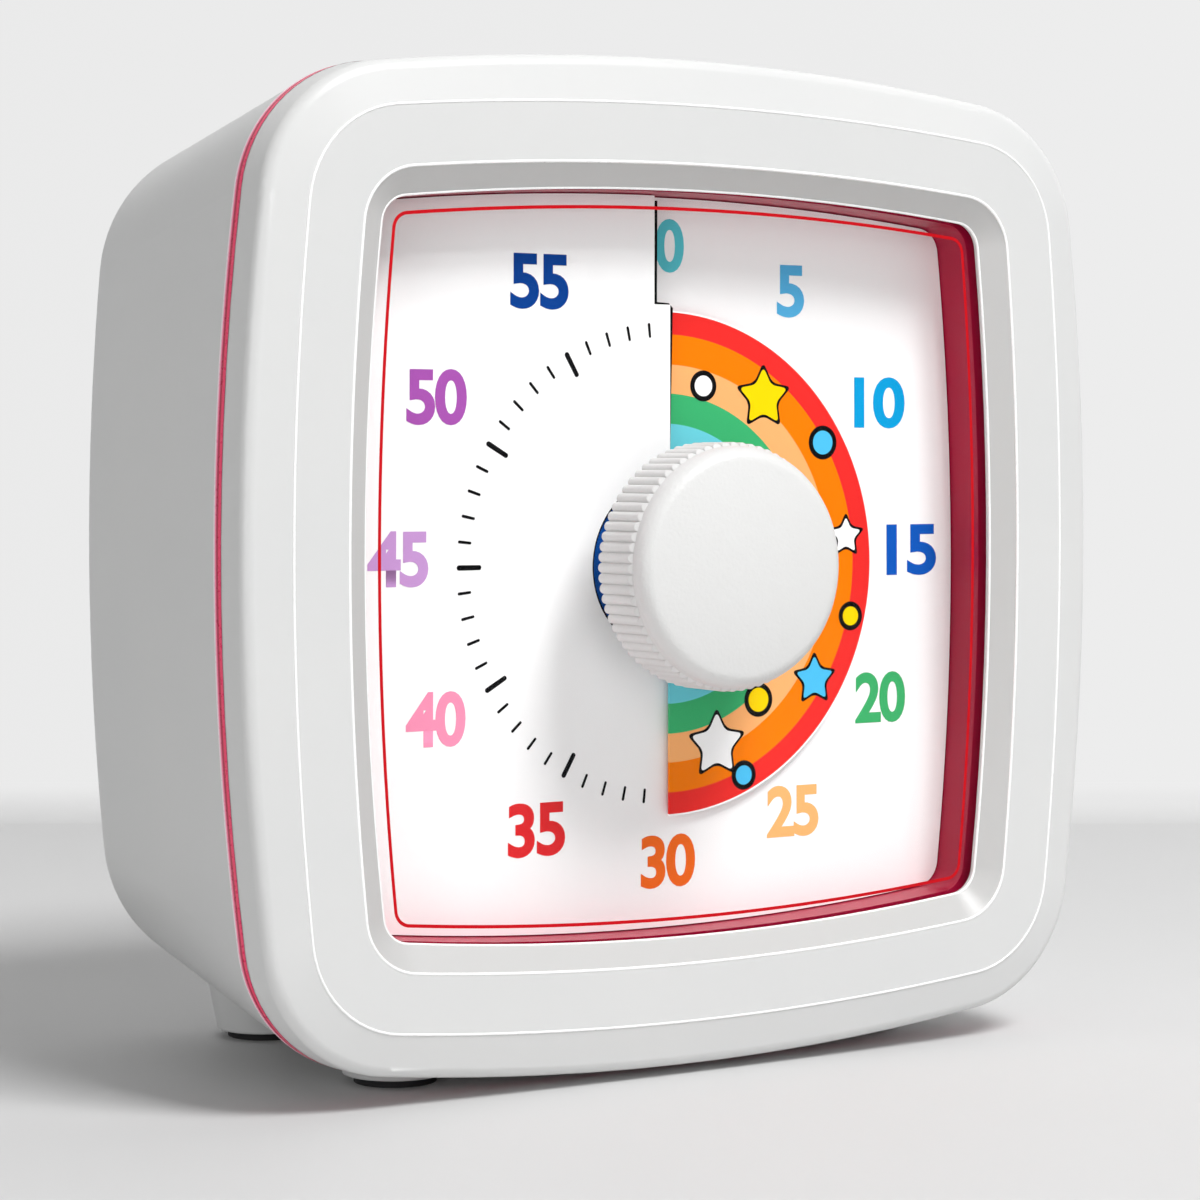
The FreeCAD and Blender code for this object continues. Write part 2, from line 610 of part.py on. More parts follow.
def knob():
    """Hollow grip with a ribbed skirt, a slightly crowned face and a keyed sleeve behind."""
    bend = KNOB_ROUND * (1 - math.sqrt(0.5))
    front = KNOB_FRONT_Y
    rim_y = front + KNOB_CROWN
    centre = V(0, front, 0)
    rim = V(KNOB_R - KNOB_ROUND, rim_y, 0)
    crown = Part.Arc(centre, V(rim.x * 0.5, front + KNOB_CROWN * 0.25, 0), rim).toShape()
    edge = Part.Arc(rim, V(KNOB_R - bend, rim_y + bend, 0), V(KNOB_R, rim_y + KNOB_ROUND, 0)).toShape()
    corner = V(KNOB_R, KNOB_BACK_Y, 0)
    axis_end = V(0, KNOB_BACK_Y, 0)
    rest = [Part.makeLine(V(KNOB_R, rim_y + KNOB_ROUND, 0), corner), Part.makeLine(corner, axis_end),
            Part.makeLine(axis_end, centre)]
    body = Part.Face(Part.Wire([crown, edge] + rest)).revolve(V(0, 0, 0), DEEP, 360)
    ribs = ribbed_ring(rim_y + KNOB_ROUND * 0.75, KNOB_BACK_Y)
    bevel = KNOB_R + RIB_HEIGHT
    lead = 3 * RIB_HEIGHT
    cone = Part.makeCone(bevel - lead, bevel + lead, 2 * lead, V(0, rim_y + KNOB_ROUND * 0.75 - 0.01, 0), DEEP)
    keep = cone.fuse(rod(bevel + lead, rim_y + KNOB_ROUND * 0.75 + 2 * lead - 0.02, KNOB_BACK_Y))
    body = body.fuse(ribs.common(keep))
    hollow = tube(KNOB_R - KNOB_WALL, SLEEVE_R + KNOB_WALL, KNOB_FRONT_Y + KNOB_CROWN + KNOB_WALL, KNOB_BACK_Y + 1)
    body = body.cut(hollow)
    body = body.fuse(sleeve_bar(0.0, KNOB_BACK_Y - 1, PLATE_Y - 3 * FIT))
    return body.cut(rod(SPINDLE_R + SEAT, KNOB_BACK_Y - SPINDLE_BITE, PLATE_Y))


def knob_spindle():
    """Steel spindle from the knob to the clutch, with a groove for its clip and a thin pivot."""
    clip_r = SPINDLE_R * 0.72
    end_y = CLIP_Y + CLIP_T + RUN
    body = rod(SPINDLE_R, KNOB_BACK_Y - SPINDLE_BITE, end_y + 2 * FIT)
    body = body.cut(tube(SPINDLE_R + 1, clip_r, CLIP_Y - RUN, end_y))
    return body.fuse(rod(ARBOR_R, end_y, BOX_BACK_IN_Y + PIVOT_DEPTH - PIVOT_FLOAT))


def spindle_bush():
    """Flanged bush that the spindle turns in, through the plate and the box floor."""
    body = rod(SPINDLE_R + BUSH_WALL, PLATE_Y, BOX_IN_Y)
    flange = rod(SPINDLE_R + BUSH_WALL + BUSH_FLANGE, BOX_IN_Y, BOX_IN_Y + BUSH_FLANGE_T)
    return body.fuse(flange).cut(rod(SPINDLE_R + RUN, PLATE_Y - 1, BOX_IN_Y + 1))


# Backing plate

def box_screw_places():
    """Places of the four screws of the movement box."""
    reach = BOX_BOSS_R
    return ((BOX_RIGHT - reach, BOX_HIGH - reach), (-BOX_LEFT + reach, BOX_HIGH - reach),
            (BOX_RIGHT - reach, -BOX_LOW + reach), (-BOX_LEFT + reach, -BOX_LOW + reach))


def board_screw_places():
    """Places of the two screws of the circuit board."""
    z = BOX_HIGH + BOARD_GAP + BOARD_HEIGHT / 2
    x = BOARD_WIDTH / 2 - BOARD_SCREW_INSET
    return ((x, z), (-x, z))


def backing_plate():
    """Plate behind the dial: carries the bush, the movement, the board and the screw bosses."""
    body = prism(inset(LIP, -LENS_LAP), PLATE_Y, PLATE_BACK_Y)
    bosses = [rod(BOSS_R, PLATE_BACK_Y - 0.5, POST_Y, x, z) for x, z in shell_posts()]
    bosses += [rod(BOARD_BOSS_R, PLATE_BACK_Y - 0.5, PLATE_BACK_Y + BOARD_LIFT, x, z)
               for x, z in board_screw_places()]
    body = body.fuse(bosses)
    cuts = [rod(SPINDLE_R + BUSH_WALL + SEAT, PLATE_Y - 1, PLATE_BACK_Y + 1)]
    for x, z in shell_posts():
        cuts.append(rod(SCREW_R + SEAT, HEAD_Y - SCREW_LENGTH - 2 * FIT, POST_Y + 1, x, z))
    for x, z in board_screw_places():
        cuts.append(rod(BOARD_SCREW_R + SEAT, PLATE_BACK_Y - 1, PLATE_BACK_Y + BOARD_LIFT + 1, x, z))
    for x, z in box_screw_places():
        cuts.append(rod(BOX_SCREW_R + SEAT, PLATE_Y + 0.5, PLATE_BACK_Y + 1, x, z))
    return body.cut(cuts)


# Wheel train

def pitch_radius(teeth):
    """Pitch radius of a wheel."""
    return MODULE * teeth / 2


def train_places():
    """Axes of the train, from the clutch to the rotor, each placed from the one before it."""
    steps = ((CLUTCH_TEETH, THIRD_ANGLE), (THIRD_TEETH, SECOND_ANGLE),
             (SECOND_TEETH, MIDDLE_ANGLE), (MIDDLE_TEETH, ROTOR_ANGLE))
    places = [(0.0, 0.0)]
    for teeth, angle in steps:
        distance = pitch_radius(teeth) + pitch_radius(LEAVES) + MESH_EASE
        places.append(polar(distance, angle, *places[-1]))
    return places


def gear(teeth, place, depth, thickness, aim, tooth_at_aim):
    """Toothed disc. A tooth, or else a gap, points along the aim angle in degrees."""
    pitch_r = pitch_radius(teeth)
    tip_r = pitch_r + ADDENDUM * MODULE
    root_r = pitch_r - DEDENDUM * MODULE
    step = 2 * math.pi / teeth
    wide = step / 4 * TOOTH_SHARE
    narrow = wide * TIP_SHARE * pitch_r / tip_r
    first = math.radians(aim) + (0.0 if tooth_at_aim else step / 2)

    def point(radius, angle):
        return V(place[0] + radius * math.cos(angle), depth, place[1] + radius * math.sin(angle))

    edges = []
    for tooth in range(teeth):
        middle = first + tooth * step
        rise = [point(root_r, middle - wide), point(pitch_r, middle - wide), point(tip_r, middle - narrow)]
        fall = [point(tip_r, middle + narrow), point(pitch_r, middle + wide), point(root_r, middle + wide)]
        edges.append(Part.makeLine(rise[0], rise[1]))
        edges.append(Part.makeLine(rise[1], rise[2]))
        edges.append(Part.Arc(rise[2], point(tip_r, middle), fall[0]).toShape())
        edges.append(Part.makeLine(fall[0], fall[1]))
        edges.append(Part.makeLine(fall[1], fall[2]))
        edges.append(Part.Arc(fall[2], point(root_r, middle + step / 2), point(root_r, middle + step - wide))
                     .toShape())
    return Part.Face(Part.Wire(edges)).extrude(V(0, thickness, 0))


def arbor(place):
    """Thin axle between the two plates of the movement box."""
    return rod(ARBOR_R, BOX_IN_Y - PIVOT_DEPTH + PIVOT_FLOAT, BOX_BACK_IN_Y + PIVOT_DEPTH - PIVOT_FLOAT, *place)


def pinion(place, mate_depth, mate_angle):
    """Pinion that meshes with a wheel at a depth. A gap faces the wheel."""
    return gear(LEAVES, place, mate_depth - PINION_OVERLAP, WHEEL_T + 2 * PINION_OVERLAP, mate_angle + 180, False)


def clutch_wheel():
    """Slow wheel that grips the spindle only through its spring."""
    place = train_places()[0]
    body = gear(CLUTCH_TEETH, place, CLUTCH_Y, WHEEL_T, THIRD_ANGLE, True)
    return body.cut(rod(SPINDLE_R + RUN, CLUTCH_Y - 1, CLUTCH_Y + 2))


def train_wheel(index, teeth, depth, aim, mate_depth, mate_angle):
    """Wheel, pinion and arbor in one piece."""
    place = train_places()[index]
    wheel = gear(teeth, place, depth, WHEEL_T, aim, True)
    return wheel.fuse([pinion(place, mate_depth, mate_angle), arbor(place)])


def rotor():
    """Pinion and arbor that carry the motor's magnet."""
    place = train_places()[4]
    return pinion(place, MIDDLE_Y, ROTOR_ANGLE).fuse(arbor(place))


def rotor_magnet():
    """Ring magnet on the rotor's arbor."""
    place = train_places()[4]
    return tube(MAGNET_R, ARBOR_R + SEAT, MAGNET_Y, MAGNET_Y + MAGNET_T, *place)


def clutch_spring():
    """Dished spring washer that presses the clutch wheel."""
    start = CLUTCH_Y + WHEEL_T
    outer = Part.makeCone(SPRING_R, SPINDLE_R + 2 * RUN + SPRING_T, SPRING_RISE, V(0, start, 0), DEEP)
    inner = Part.makeCone(SPRING_R - SPRING_T, SPINDLE_R + 2 * RUN, SPRING_RISE, V(0, start, 0), DEEP)
    return outer.cut(inner).cut(rod(SPINDLE_R + RUN, start - 1, start + SPRING_RISE + 1))


def retaining_clip():
    """Open clip in the spindle's groove."""
    clip_r = SPINDLE_R * 0.72
    clip = tube(CLIP_R, clip_r + SEAT, CLIP_Y, CLIP_Y + CLIP_T)
    return clip.cut(block(-clip_r, clip_r, CLIP_Y - 1, CLIP_Y + 1, -CLIP_R - 1, 0))


# Motor

def stator():
    """Flat pole plate: a hole round the magnet and two arms to the coil's core."""
    x, z = train_places()[4]
    right = x + STATOR_BRIDGE
    left = COIL_X - CORE_R - 1
    body = block(left, right, STATOR_Y, STATOR_Y + STATOR_T, COIL_LOW - ARM_LENGTH, COIL_HIGH + ARM_LENGTH)
    window = block(left - 1, COIL_X + COIL_R + 2 * FIT, STATOR_Y - 1, STATOR_Y + STATOR_T + 1, COIL_LOW - FIT,
                   COIL_HIGH + FIT)
    hole = rod(MAGNET_R + STATOR_GAP, STATOR_Y - 1, STATOR_Y + STATOR_T + 1, x, z)
    third_x, third_z = train_places()[3]
    slot = rod(ARBOR_R + 1, STATOR_Y - 1, STATOR_Y + STATOR_T + 1, third_x, third_z)
    return body.cut([window, hole, slot])


def coil_core():
    """Iron bar through the coil, ending under the stator's arms."""
    reach = ARM_LENGTH
    return block(COIL_X - CORE_R, COIL_X + CORE_R, STATOR_Y - CORE_R, STATOR_Y, COIL_LOW - reach,
                 COIL_HIGH + reach)


def coil_bobbin():
    """Plastic bobbin with two flanges."""
    hole = block(COIL_X - CORE_R - SEAT, COIL_X + CORE_R + SEAT, STATOR_Y - CORE_R - SEAT, STATOR_Y + SEAT,
                 COIL_LOW - 1, COIL_HIGH + 1)
    middle_y = STATOR_Y - CORE_R / 2
    body = Part.makeCylinder(CORE_R + 0.6, COIL_HIGH - COIL_LOW, V(COIL_X, middle_y, COIL_LOW))
    for z in (COIL_LOW, COIL_HIGH - FLANGE_LENGTH):
        body = body.fuse(Part.makeCylinder(COIL_R, FLANGE_LENGTH, V(COIL_X, middle_y, z)))
    return body.cut(hole)


def coil_winding():
    """Copper winding as one sleeve on the bobbin."""
    middle_y = STATOR_Y - CORE_R / 2
    low = COIL_LOW + FLANGE_LENGTH + SEAT
    length = COIL_HIGH - COIL_LOW - 2 * (FLANGE_LENGTH + SEAT)
    body = Part.makeCylinder(COIL_R - 0.2, length, V(COIL_X, middle_y, low))
    return body.cut(Part.makeCylinder(CORE_R + 0.6 + SEAT, length + 2, V(COIL_X, middle_y, low - 1)))


# Movement box

def box_half(depth, depth_end, floor_depth, floor_end):
    """One half of the movement box: floor, four walls and corner bosses."""
    body = block(-BOX_LEFT, BOX_RIGHT, depth, depth_end, -BOX_LOW, BOX_HIGH)
    body = body.cut(block(-BOX_LEFT + BOX_WALL, BOX_RIGHT - BOX_WALL, depth - 1, depth_end + 1,
                          -BOX_LOW + BOX_WALL, BOX_HIGH - BOX_WALL))
    floor = block(-BOX_LEFT, BOX_RIGHT, floor_depth, floor_end, -BOX_LOW, BOX_HIGH)
    bosses = [rod(BOX_BOSS_R, depth, depth_end, x, z) for x, z in box_screw_places()]
    return body.fuse([floor] + bosses)


def movement_case_front():
    """Front half of the movement box, with blind pivot holes and the bush's seat."""
    body = box_half(BOX_Y, BOX_SPLIT_Y, BOX_Y, BOX_IN_Y)
    cuts = [rod(SPINDLE_R + BUSH_WALL + SEAT, BOX_Y - 1, BOX_IN_Y + 1)]
    cuts += [rod(ARBOR_R + RUN, BOX_IN_Y - PIVOT_DEPTH, BOX_IN_Y + 1, *place) for place in train_places()[1:]]
    cuts += [rod(BOX_SCREW_R + FIT, BOX_Y - 1, BOX_SPLIT_Y + 1, x, z) for x, z in box_screw_places()]
    return body.cut(cuts)


def movement_case_back():
    """Back half of the movement box, with blind pivot holes and sunk screw seats."""
    body = box_half(BOX_SPLIT_Y, BOX_BACK_Y, BOX_BACK_IN_Y, BOX_BACK_Y)
    cuts = [rod(ARBOR_R + RUN, BOX_BACK_IN_Y - 1, BOX_BACK_IN_Y + PIVOT_DEPTH, *place)
            for place in train_places()]
    for x, z in box_screw_places():
        cuts.append(rod(BOX_SCREW_R + FIT, BOX_SPLIT_Y - 1, BOX_BACK_Y + 1, x, z))
        cuts.append(rod(BOX_SCREW_HEAD_R + FIT, BOX_BACK_Y - BOX_SCREW_HEAD_T, BOX_BACK_Y + 1, x, z))
    return body.cut(cuts)


def movement_screws():
    """Four long screws through the movement box into the backing plate."""
    screws = []
    for x, z in box_screw_places():
        seat = BOX_BACK_Y - BOX_SCREW_HEAD_T
        head = rod(BOX_SCREW_HEAD_R, seat, BOX_BACK_Y, x, z)
        head = cross_slot(head, BOX_SCREW_HEAD_R, BOX_BACK_Y, x, z)
        screws.append(head.fuse(rod(BOX_SCREW_R, PLATE_Y + 0.5 + FIT, seat, x, z)))
    return screws


# Circuit board

def board_low():
    """Lower edge of the circuit board."""
    return BOX_HIGH + BOARD_GAP


def circuit_board():
    """Board on two bosses of the backing plate."""
    front = PLATE_BACK_Y + BOARD_LIFT
    body = block(-BOARD_WIDTH / 2, BOARD_WIDTH / 2, front, front + BOARD_T, board_low(), board_low() + BOARD_HEIGHT)
    return body.cut([rod(BOARD_SCREW_R + FIT, front - 1, front + BOARD_T + 1, x, z)
                     for x, z in board_screw_places()])


def board_screws():
    """Two screws that hold the circuit board."""
    front = PLATE_BACK_Y + BOARD_LIFT
    screws = []
    for x, z in board_screw_places():
        top = front + BOARD_T + BOARD_HEAD_T
        head = cross_slot(rod(BOARD_HEAD_R, front + BOARD_T, top, x, z), BOARD_HEAD_R, top, x, z)
        screws.append(head.fuse(rod(BOARD_SCREW_R, PLATE_BACK_Y - 1 + FIT, front + BOARD_T, x, z)))
    return screws


def quartz_crystal():
    """Can of the quartz crystal, lying on the board."""
    y = PLATE_BACK_Y + BOARD_LIFT + BOARD_T + CRYSTAL_R
    z = board_low() + 1.5 * CRYSTAL_R
    return Part.makeCylinder(CRYSTAL_R, CRYSTAL_LENGTH, V(-CRYSTAL_LENGTH, y, z), V(1, 0, 0))


def controller_chip():
    """Moulded chip on the board."""
    y = PLATE_BACK_Y + BOARD_LIFT + BOARD_T
    z = board_low() + (BOARD_HEIGHT - CHIP_SIDE) / 2
    return block(CRYSTAL_R, CRYSTAL_R + CHIP_SIDE, y, y + CHIP_T, z, z + CHIP_SIDE)


def buzzer_disc():
    """Round sounder glued on its ring behind the sound holes."""
    back = REAR_INNER_Y - BUZZER_RING_H
    return rod(BUZZER_R, back - BUZZER_T, back, BUZZER_X, BUZZER_Z)


# Battery and door

def battery_cell():
    """One round cell with its nub towards +X."""
    end = BAY_HALF - CONTACT_T
    body = Part.makeCylinder(CELL_R, CELL_LENGTH - CELL_NUB, V(end - CELL_LENGTH, CELL_Y, BAY_Z), V(1, 0, 0))
    rims = [edge for edge in body.Edges if abs(edge.Length - 2 * math.pi * CELL_R) < 0.01]
    body = body.makeFillet(0.5, rims)
    return body.fuse(Part.makeCylinder(CELL_NUB_R, CELL_NUB + 0.5, V(end - CELL_NUB - 0.5, CELL_Y, BAY_Z),
                                       V(1, 0, 0)))


def battery_contact_plate():
    """Flat contact at the nub's end of the bay."""
    half = CONTACT_SIDE / 2
    return block(BAY_HALF - CONTACT_T, BAY_HALF, CELL_Y - half, CELL_Y + half, BAY_Z - half, BAY_Z + half)


def battery_spring():
    """Conical contact spring on its own plate at the other end of the bay."""
    half = CONTACT_SIDE / 2
    plate = block(-BAY_HALF, -BAY_HALF + CONTACT_T, CELL_Y - half, CELL_Y + half, BAY_Z - half, BAY_Z + half)
    start = V(-BAY_HALF + CONTACT_T, CELL_Y, BAY_Z)
    outer = Part.makeCone(CONTACT_SPRING_R, CONTACT_SPRING_TIP_R, CONTACT_SPRING, start, V(1, 0, 0))
    inner = Part.makeCone(CONTACT_SPRING_R - CONTACT_SPRING_WALL, CONTACT_SPRING_TIP_R - CONTACT_SPRING_WALL,
                          CONTACT_SPRING, start, V(1, 0, 0))
    return plate.fuse(outer.cut(inner))


def battery_door():
    """Door with a rounded lower edge and two stub pins that it swings on."""
    half = BAY_HALF + DOOR_LEDGE - DOOR_EDGE
    top = BAY_Z + BAY_RISE + DOOR_LEDGE - DOOR_EDGE
    panel = block(-half, half, REAR_Y - DOOR_T, REAR_Y, DOOR_PIVOT_Z, top)
    nose = Part.makeCylinder(DOOR_T / 2, 2 * half, V(-half, DOOR_PIVOT_Y, DOOR_PIVOT_Z), V(1, 0, 0))
    reach = half + DOOR_EDGE + DOOR_PIN_LENGTH - FIT
    pins = Part.makeCylinder(DOOR_PIN_R, 2 * reach, V(-reach, DOOR_PIVOT_Y, DOOR_PIVOT_Z), V(1, 0, 0))
    return panel.fuse([nose, pins]).removeSplitter()


# Alarm switch

def slider_rest_x():
    """Middle of the slider at rest, at the left end of its travel as seen from the front."""
    return SWITCH_X - SLIDER_TRAVEL / 2


def alarm_switch_body():
    """Switch housing under the back wall, open towards the slot."""
    body = block(SWITCH_X - SWITCH_LENGTH / 2, SWITCH_X + SWITCH_LENGTH / 2, REAR_INNER_Y - SWITCH_DEPTH,
                 REAR_INNER_Y, SWITCH_Z - SWITCH_HEIGHT / 2, SWITCH_Z + SWITCH_HEIGHT / 2)
    half = SLIDER_LENGTH / 2 + SLIDER_TRAVEL / 2 + 2 * SLIDER_GAP + SLIDER_GAP
    room = block(SWITCH_X - half, SWITCH_X + half, REAR_INNER_Y - SLIDER_FOOT - SLIDER_GAP, REAR_INNER_Y + 1,
                 SWITCH_Z - SLIDER_HEIGHT / 2 - 2 * SLIDER_GAP, SWITCH_Z + SLIDER_HEIGHT / 2 + 2 * SLIDER_GAP)
    return body.cut(room)


def alarm_switch_slider():
    """Ridged slider that stands a little out of the back."""
    x = slider_rest_x()
    half = SLIDER_LENGTH / 2
    body = block(x - half, x + half, REAR_INNER_Y - SLIDER_FOOT, SLIDER_BACK_Y, SWITCH_Z - SLIDER_HEIGHT / 2,
                 SWITCH_Z + SLIDER_HEIGHT / 2)
    for step in (-1, 0, 1):
        middle = x + step * SLIDER_LENGTH / 4
        groove = block(middle - 0.15, middle + 0.15, SLIDER_BACK_Y - SLIDER_PROUD / 2, SLIDER_BACK_Y + 1,
                       SWITCH_Z - SLIDER_HEIGHT, SWITCH_Z + SLIDER_HEIGHT)
        body = body.cut(groove)
    return body


def build():
    """Every node's name and its solids."""
    return {
        "front_bezel": front_bezel(),
        "crimson_liner": crimson_liner(),
        "window_lens": window_lens(),
        "rear_shell": rear_shell(),
        "rubber_feet": rubber_feet(),
        "case_screws": case_screws(),
        "dial_sheet": dial_sheet(),
        "time_disc": time_disc(),
        "disc_hub": disc_hub(),
        "knob": knob(),
        "knob_spindle": knob_spindle(),
        "spindle_bush": spindle_bush(),
        "backing_plate": backing_plate(),
        "movement_case_front": movement_case_front(),
        "movement_case_back": movement_case_back(),
        "movement_screws": movement_screws(),
        "clutch_wheel": clutch_wheel(),
        "clutch_spring": clutch_spring(),
        "retaining_clip": retaining_clip(),
        "third_wheel": train_wheel(1, THIRD_TEETH, THIRD_Y, SECOND_ANGLE, CLUTCH_Y, THIRD_ANGLE),
        "second_wheel": train_wheel(2, SECOND_TEETH, SECOND_Y, MIDDLE_ANGLE, THIRD_Y, SECOND_ANGLE),
        "middle_wheel": train_wheel(3, MIDDLE_TEETH, MIDDLE_Y, ROTOR_ANGLE, SECOND_Y, MIDDLE_ANGLE),
        "rotor": rotor(),
        "rotor_magnet": rotor_magnet(),
        "stator": stator(),
        "coil_core": coil_core(),
        "coil_bobbin": coil_bobbin(),
        "coil_winding": coil_winding(),
        "circuit_board": circuit_board(),
        "board_screws": board_screws(),
        "quartz_crystal": quartz_crystal(),
        "controller_chip": controller_chip(),
        "buzzer_disc": buzzer_disc(),
        "battery_cell": battery_cell(),
        "battery_contact_plate": battery_contact_plate(),
        "battery_spring": battery_spring(),
        "battery_door": battery_door(),
        "alarm_switch_body": alarm_switch_body(),
        "alarm_switch_slider": alarm_switch_slider(),
    }


def main():
    """Write each node as a STEP file, standing on its feet with the whole part centred."""
    os.makedirs("parts", exist_ok=True)
    for name, made in build().items():
        solids = made if isinstance(made, list) else [made]
        solids = [solid for shape in solids for solid in shape.Solids]
        shape = Part.makeCompound(solids) if len(solids) > 1 else solids[0]
        shape.translate(V(0, SHIFT_Y, SHIFT_Z))
        shape.exportStep("parts/" + name + ".step")
        print(name, len(solids), shape.isValid(), round(shape.Volume, 2))


if __name__ == "__main__":
    main()
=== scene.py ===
"""Desk countdown timer: finishes, printed dial, lines of the case, details of the back and the studio."""

import logging
import math
from collections.abc import Callable
from dataclasses import dataclass, field
from enum import Enum
from functools import partial

import bmesh
import bpy
from bmesh.types import BMFace
from bpy.types import ID, Material, MeshEdge, Node, NodeSocket, NodeTree, Object
from mathutils import Matrix, Vector


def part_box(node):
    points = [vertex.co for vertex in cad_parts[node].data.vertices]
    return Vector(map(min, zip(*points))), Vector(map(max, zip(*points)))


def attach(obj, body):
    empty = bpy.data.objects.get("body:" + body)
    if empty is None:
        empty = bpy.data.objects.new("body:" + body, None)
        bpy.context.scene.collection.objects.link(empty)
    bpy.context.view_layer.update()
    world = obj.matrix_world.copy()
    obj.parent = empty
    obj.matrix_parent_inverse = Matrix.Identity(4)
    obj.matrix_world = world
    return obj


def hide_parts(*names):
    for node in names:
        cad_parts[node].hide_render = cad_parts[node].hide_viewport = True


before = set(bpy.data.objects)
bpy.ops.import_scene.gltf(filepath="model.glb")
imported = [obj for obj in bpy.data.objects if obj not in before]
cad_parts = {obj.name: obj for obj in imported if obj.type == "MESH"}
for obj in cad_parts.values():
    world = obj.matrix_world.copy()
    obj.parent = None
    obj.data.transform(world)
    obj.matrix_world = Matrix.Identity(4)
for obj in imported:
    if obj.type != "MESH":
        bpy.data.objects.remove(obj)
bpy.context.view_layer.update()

log = logging.getLogger("timer")

MM = 0.001
DIAL_CENTRE = Vector((0.0, -12.275, 40.8)) * MM
ACROSS_AXIS = (1.0, 0.0, 1.0)
IN_FRONT = -8.0
MINUTES = 60
MARK_STEP = 5
FULL_TURN = 2 * math.pi
FACE_FRONT = (math.pi / 2, 0.0, 0.0)
FACE_BACK = (math.pi / 2, 0.0, math.pi)
GRAIN_STRENGTH = 0.6
EDGE_SAMPLES = 6


class Ink(Enum):
    """Colours of the case, the prints and the works, as they look in daylight."""

    WHITE = "D6D6D5"
    COOL_WHITE = "D1D2D2"
    KNOB_WHITE = "DADAD9"
    # Painted highlight along the bezel's crests, brighter than the case's white.
    EDGE_HIGHLIGHT = "FAFAFA"
    # Painted shade of the bezel's slope, not a colour of the plastic.
    SLOPE_SHADE = "BFBFBE"
    PAPER = "FFFFFF"
    PAPER_SHADE = "FAFAFA"
    CRIMSON = "B00238"
    DEEP_CRIMSON = "98002C"
    RED = "EE2E2B"
    ORANGE = "FA7E00"
    PEACH = "FEB472"
    GREEN = "3DB371"
    CYAN = "6DD3E0"
    BLUE = "0F52A8"
    LINE_RED = "C4121C"
    BLACK = "0C0C0E"
    SOFT_BLACK = "1B1B1D"
    YELLOW = "FFD800"
    SKY = "4FC0F0"
    GREY = "8A8C8E"
    STEEL = "B8BABD"
    BRASS = "C9A24E"
    IRON = "77787A"
    COPPER = "B4632F"
    BOARD = "1E6B3A"
    NYLON = "EFEDE6"
    CELL = "2B3A4A"


def linear(ink: Ink | str) -> tuple[float, float, float, float]:
    """Turn a colour into linear light.

    Args:
        ink: A colour of the list, or six hex digits as seen on a screen.

    Returns:
        Red, green, blue and an alpha of one.
    """
    code = ink.value if isinstance(ink, Ink) else ink
    parts = [int(code[i:i + 2], 16) / 255 for i in (0, 2, 4)]
    light = [p / 12.92 if p <= 0.04045 else ((p + 0.055) / 1.055) ** 2.4 for p in parts]
    return (*light, 1.0)


# Shared shader effects


def new_group(name: str, inputs: dict, outputs: dict) -> NodeTree:
    """Start a shader group with its sockets.

    Args:
        name: Name of the group.
        inputs: Socket names with their default values.
        outputs: Socket names with their socket types.

    Returns:
        The group, with its input and output nodes named "in" and "out".
    """
    tree = bpy.data.node_groups.new(name, "ShaderNodeTree")
    for label, value in inputs.items():
        kind = "NodeSocketColor" if isinstance(value, tuple) else "NodeSocketFloat"
        socket = tree.interface.new_socket(name=label, in_out="INPUT", socket_type=kind)
        socket.default_value = value
    for label, kind in outputs.items():
        tree.interface.new_socket(name=label, in_out="OUTPUT", socket_type=kind)
    tree.nodes.new("NodeGroupInput").name = "in"
    tree.nodes.new("NodeGroupOutput").name = "out"
    return tree


def set_inputs(node: Node, values: dict) -> None:
    """Give inputs of a node, by their names, fixed values."""
    for label, value in values.items():
        node.inputs[label].default_value = value


def noise(tree: NodeTree, scale: NodeSocket, detail: float) -> NodeSocket:
    """Add a noise texture, read in object coordinates.

    Args:
        tree: The nodes that it joins.
        scale: Socket that gives its scale.
        detail: Number of octaves.

    Returns:
        The socket of its value.
    """
    node = tree.nodes.new("ShaderNodeTexNoise")
    set_inputs(node, {"Detail": detail})
    place = tree.nodes.new("ShaderNodeTexCoord")
    tree.links.new(place.outputs["Object"], node.inputs["Vector"])
    tree.links.new(scale, node.inputs["Scale"])
    return node.outputs["Fac"]


def sum_step(tree: NodeTree, operation: str, *values: NodeSocket | float,
             vector: bool = False) -> NodeSocket:
    """Add one step of arithmetic.

    Args:
        tree: The nodes that it joins.
        operation: Name of the operation.
        values: Sockets or fixed values that go in, in order.
        vector: True for a step on vectors.

    Returns:
        The socket of the result.
    """
    node = tree.nodes.new("ShaderNodeVectorMath" if vector else "ShaderNodeMath")
    node.operation = operation
    for value, entry in zip(values, node.inputs):
        if isinstance(value, NodeSocket):
            tree.links.new(value, entry)
        else:
            entry.default_value = value
    as_vector = vector and operation not in ("LENGTH", "DOT_PRODUCT")
    return node.outputs["Vector" if as_vector else "Value"]


def from_dial(tree: NodeTree) -> NodeSocket:
    """Give the place on a piece, seen from the dial's centre, in metres.

    Args:
        tree: The nodes that it joins.

    Returns:
        The socket of the place.
    """
    place = tree.nodes.new("ShaderNodeTexCoord")
    return sum_step(tree, "SUBTRACT", place.outputs["Object"], DIAL_CENTRE, vector=True)


def off_axis(tree: NodeTree) -> NodeSocket:
    """Give the place on a piece, seen from the dial's axis and flat across it."""
    return sum_step(tree, "MULTIPLY", from_dial(tree), ACROSS_AXIS, vector=True)


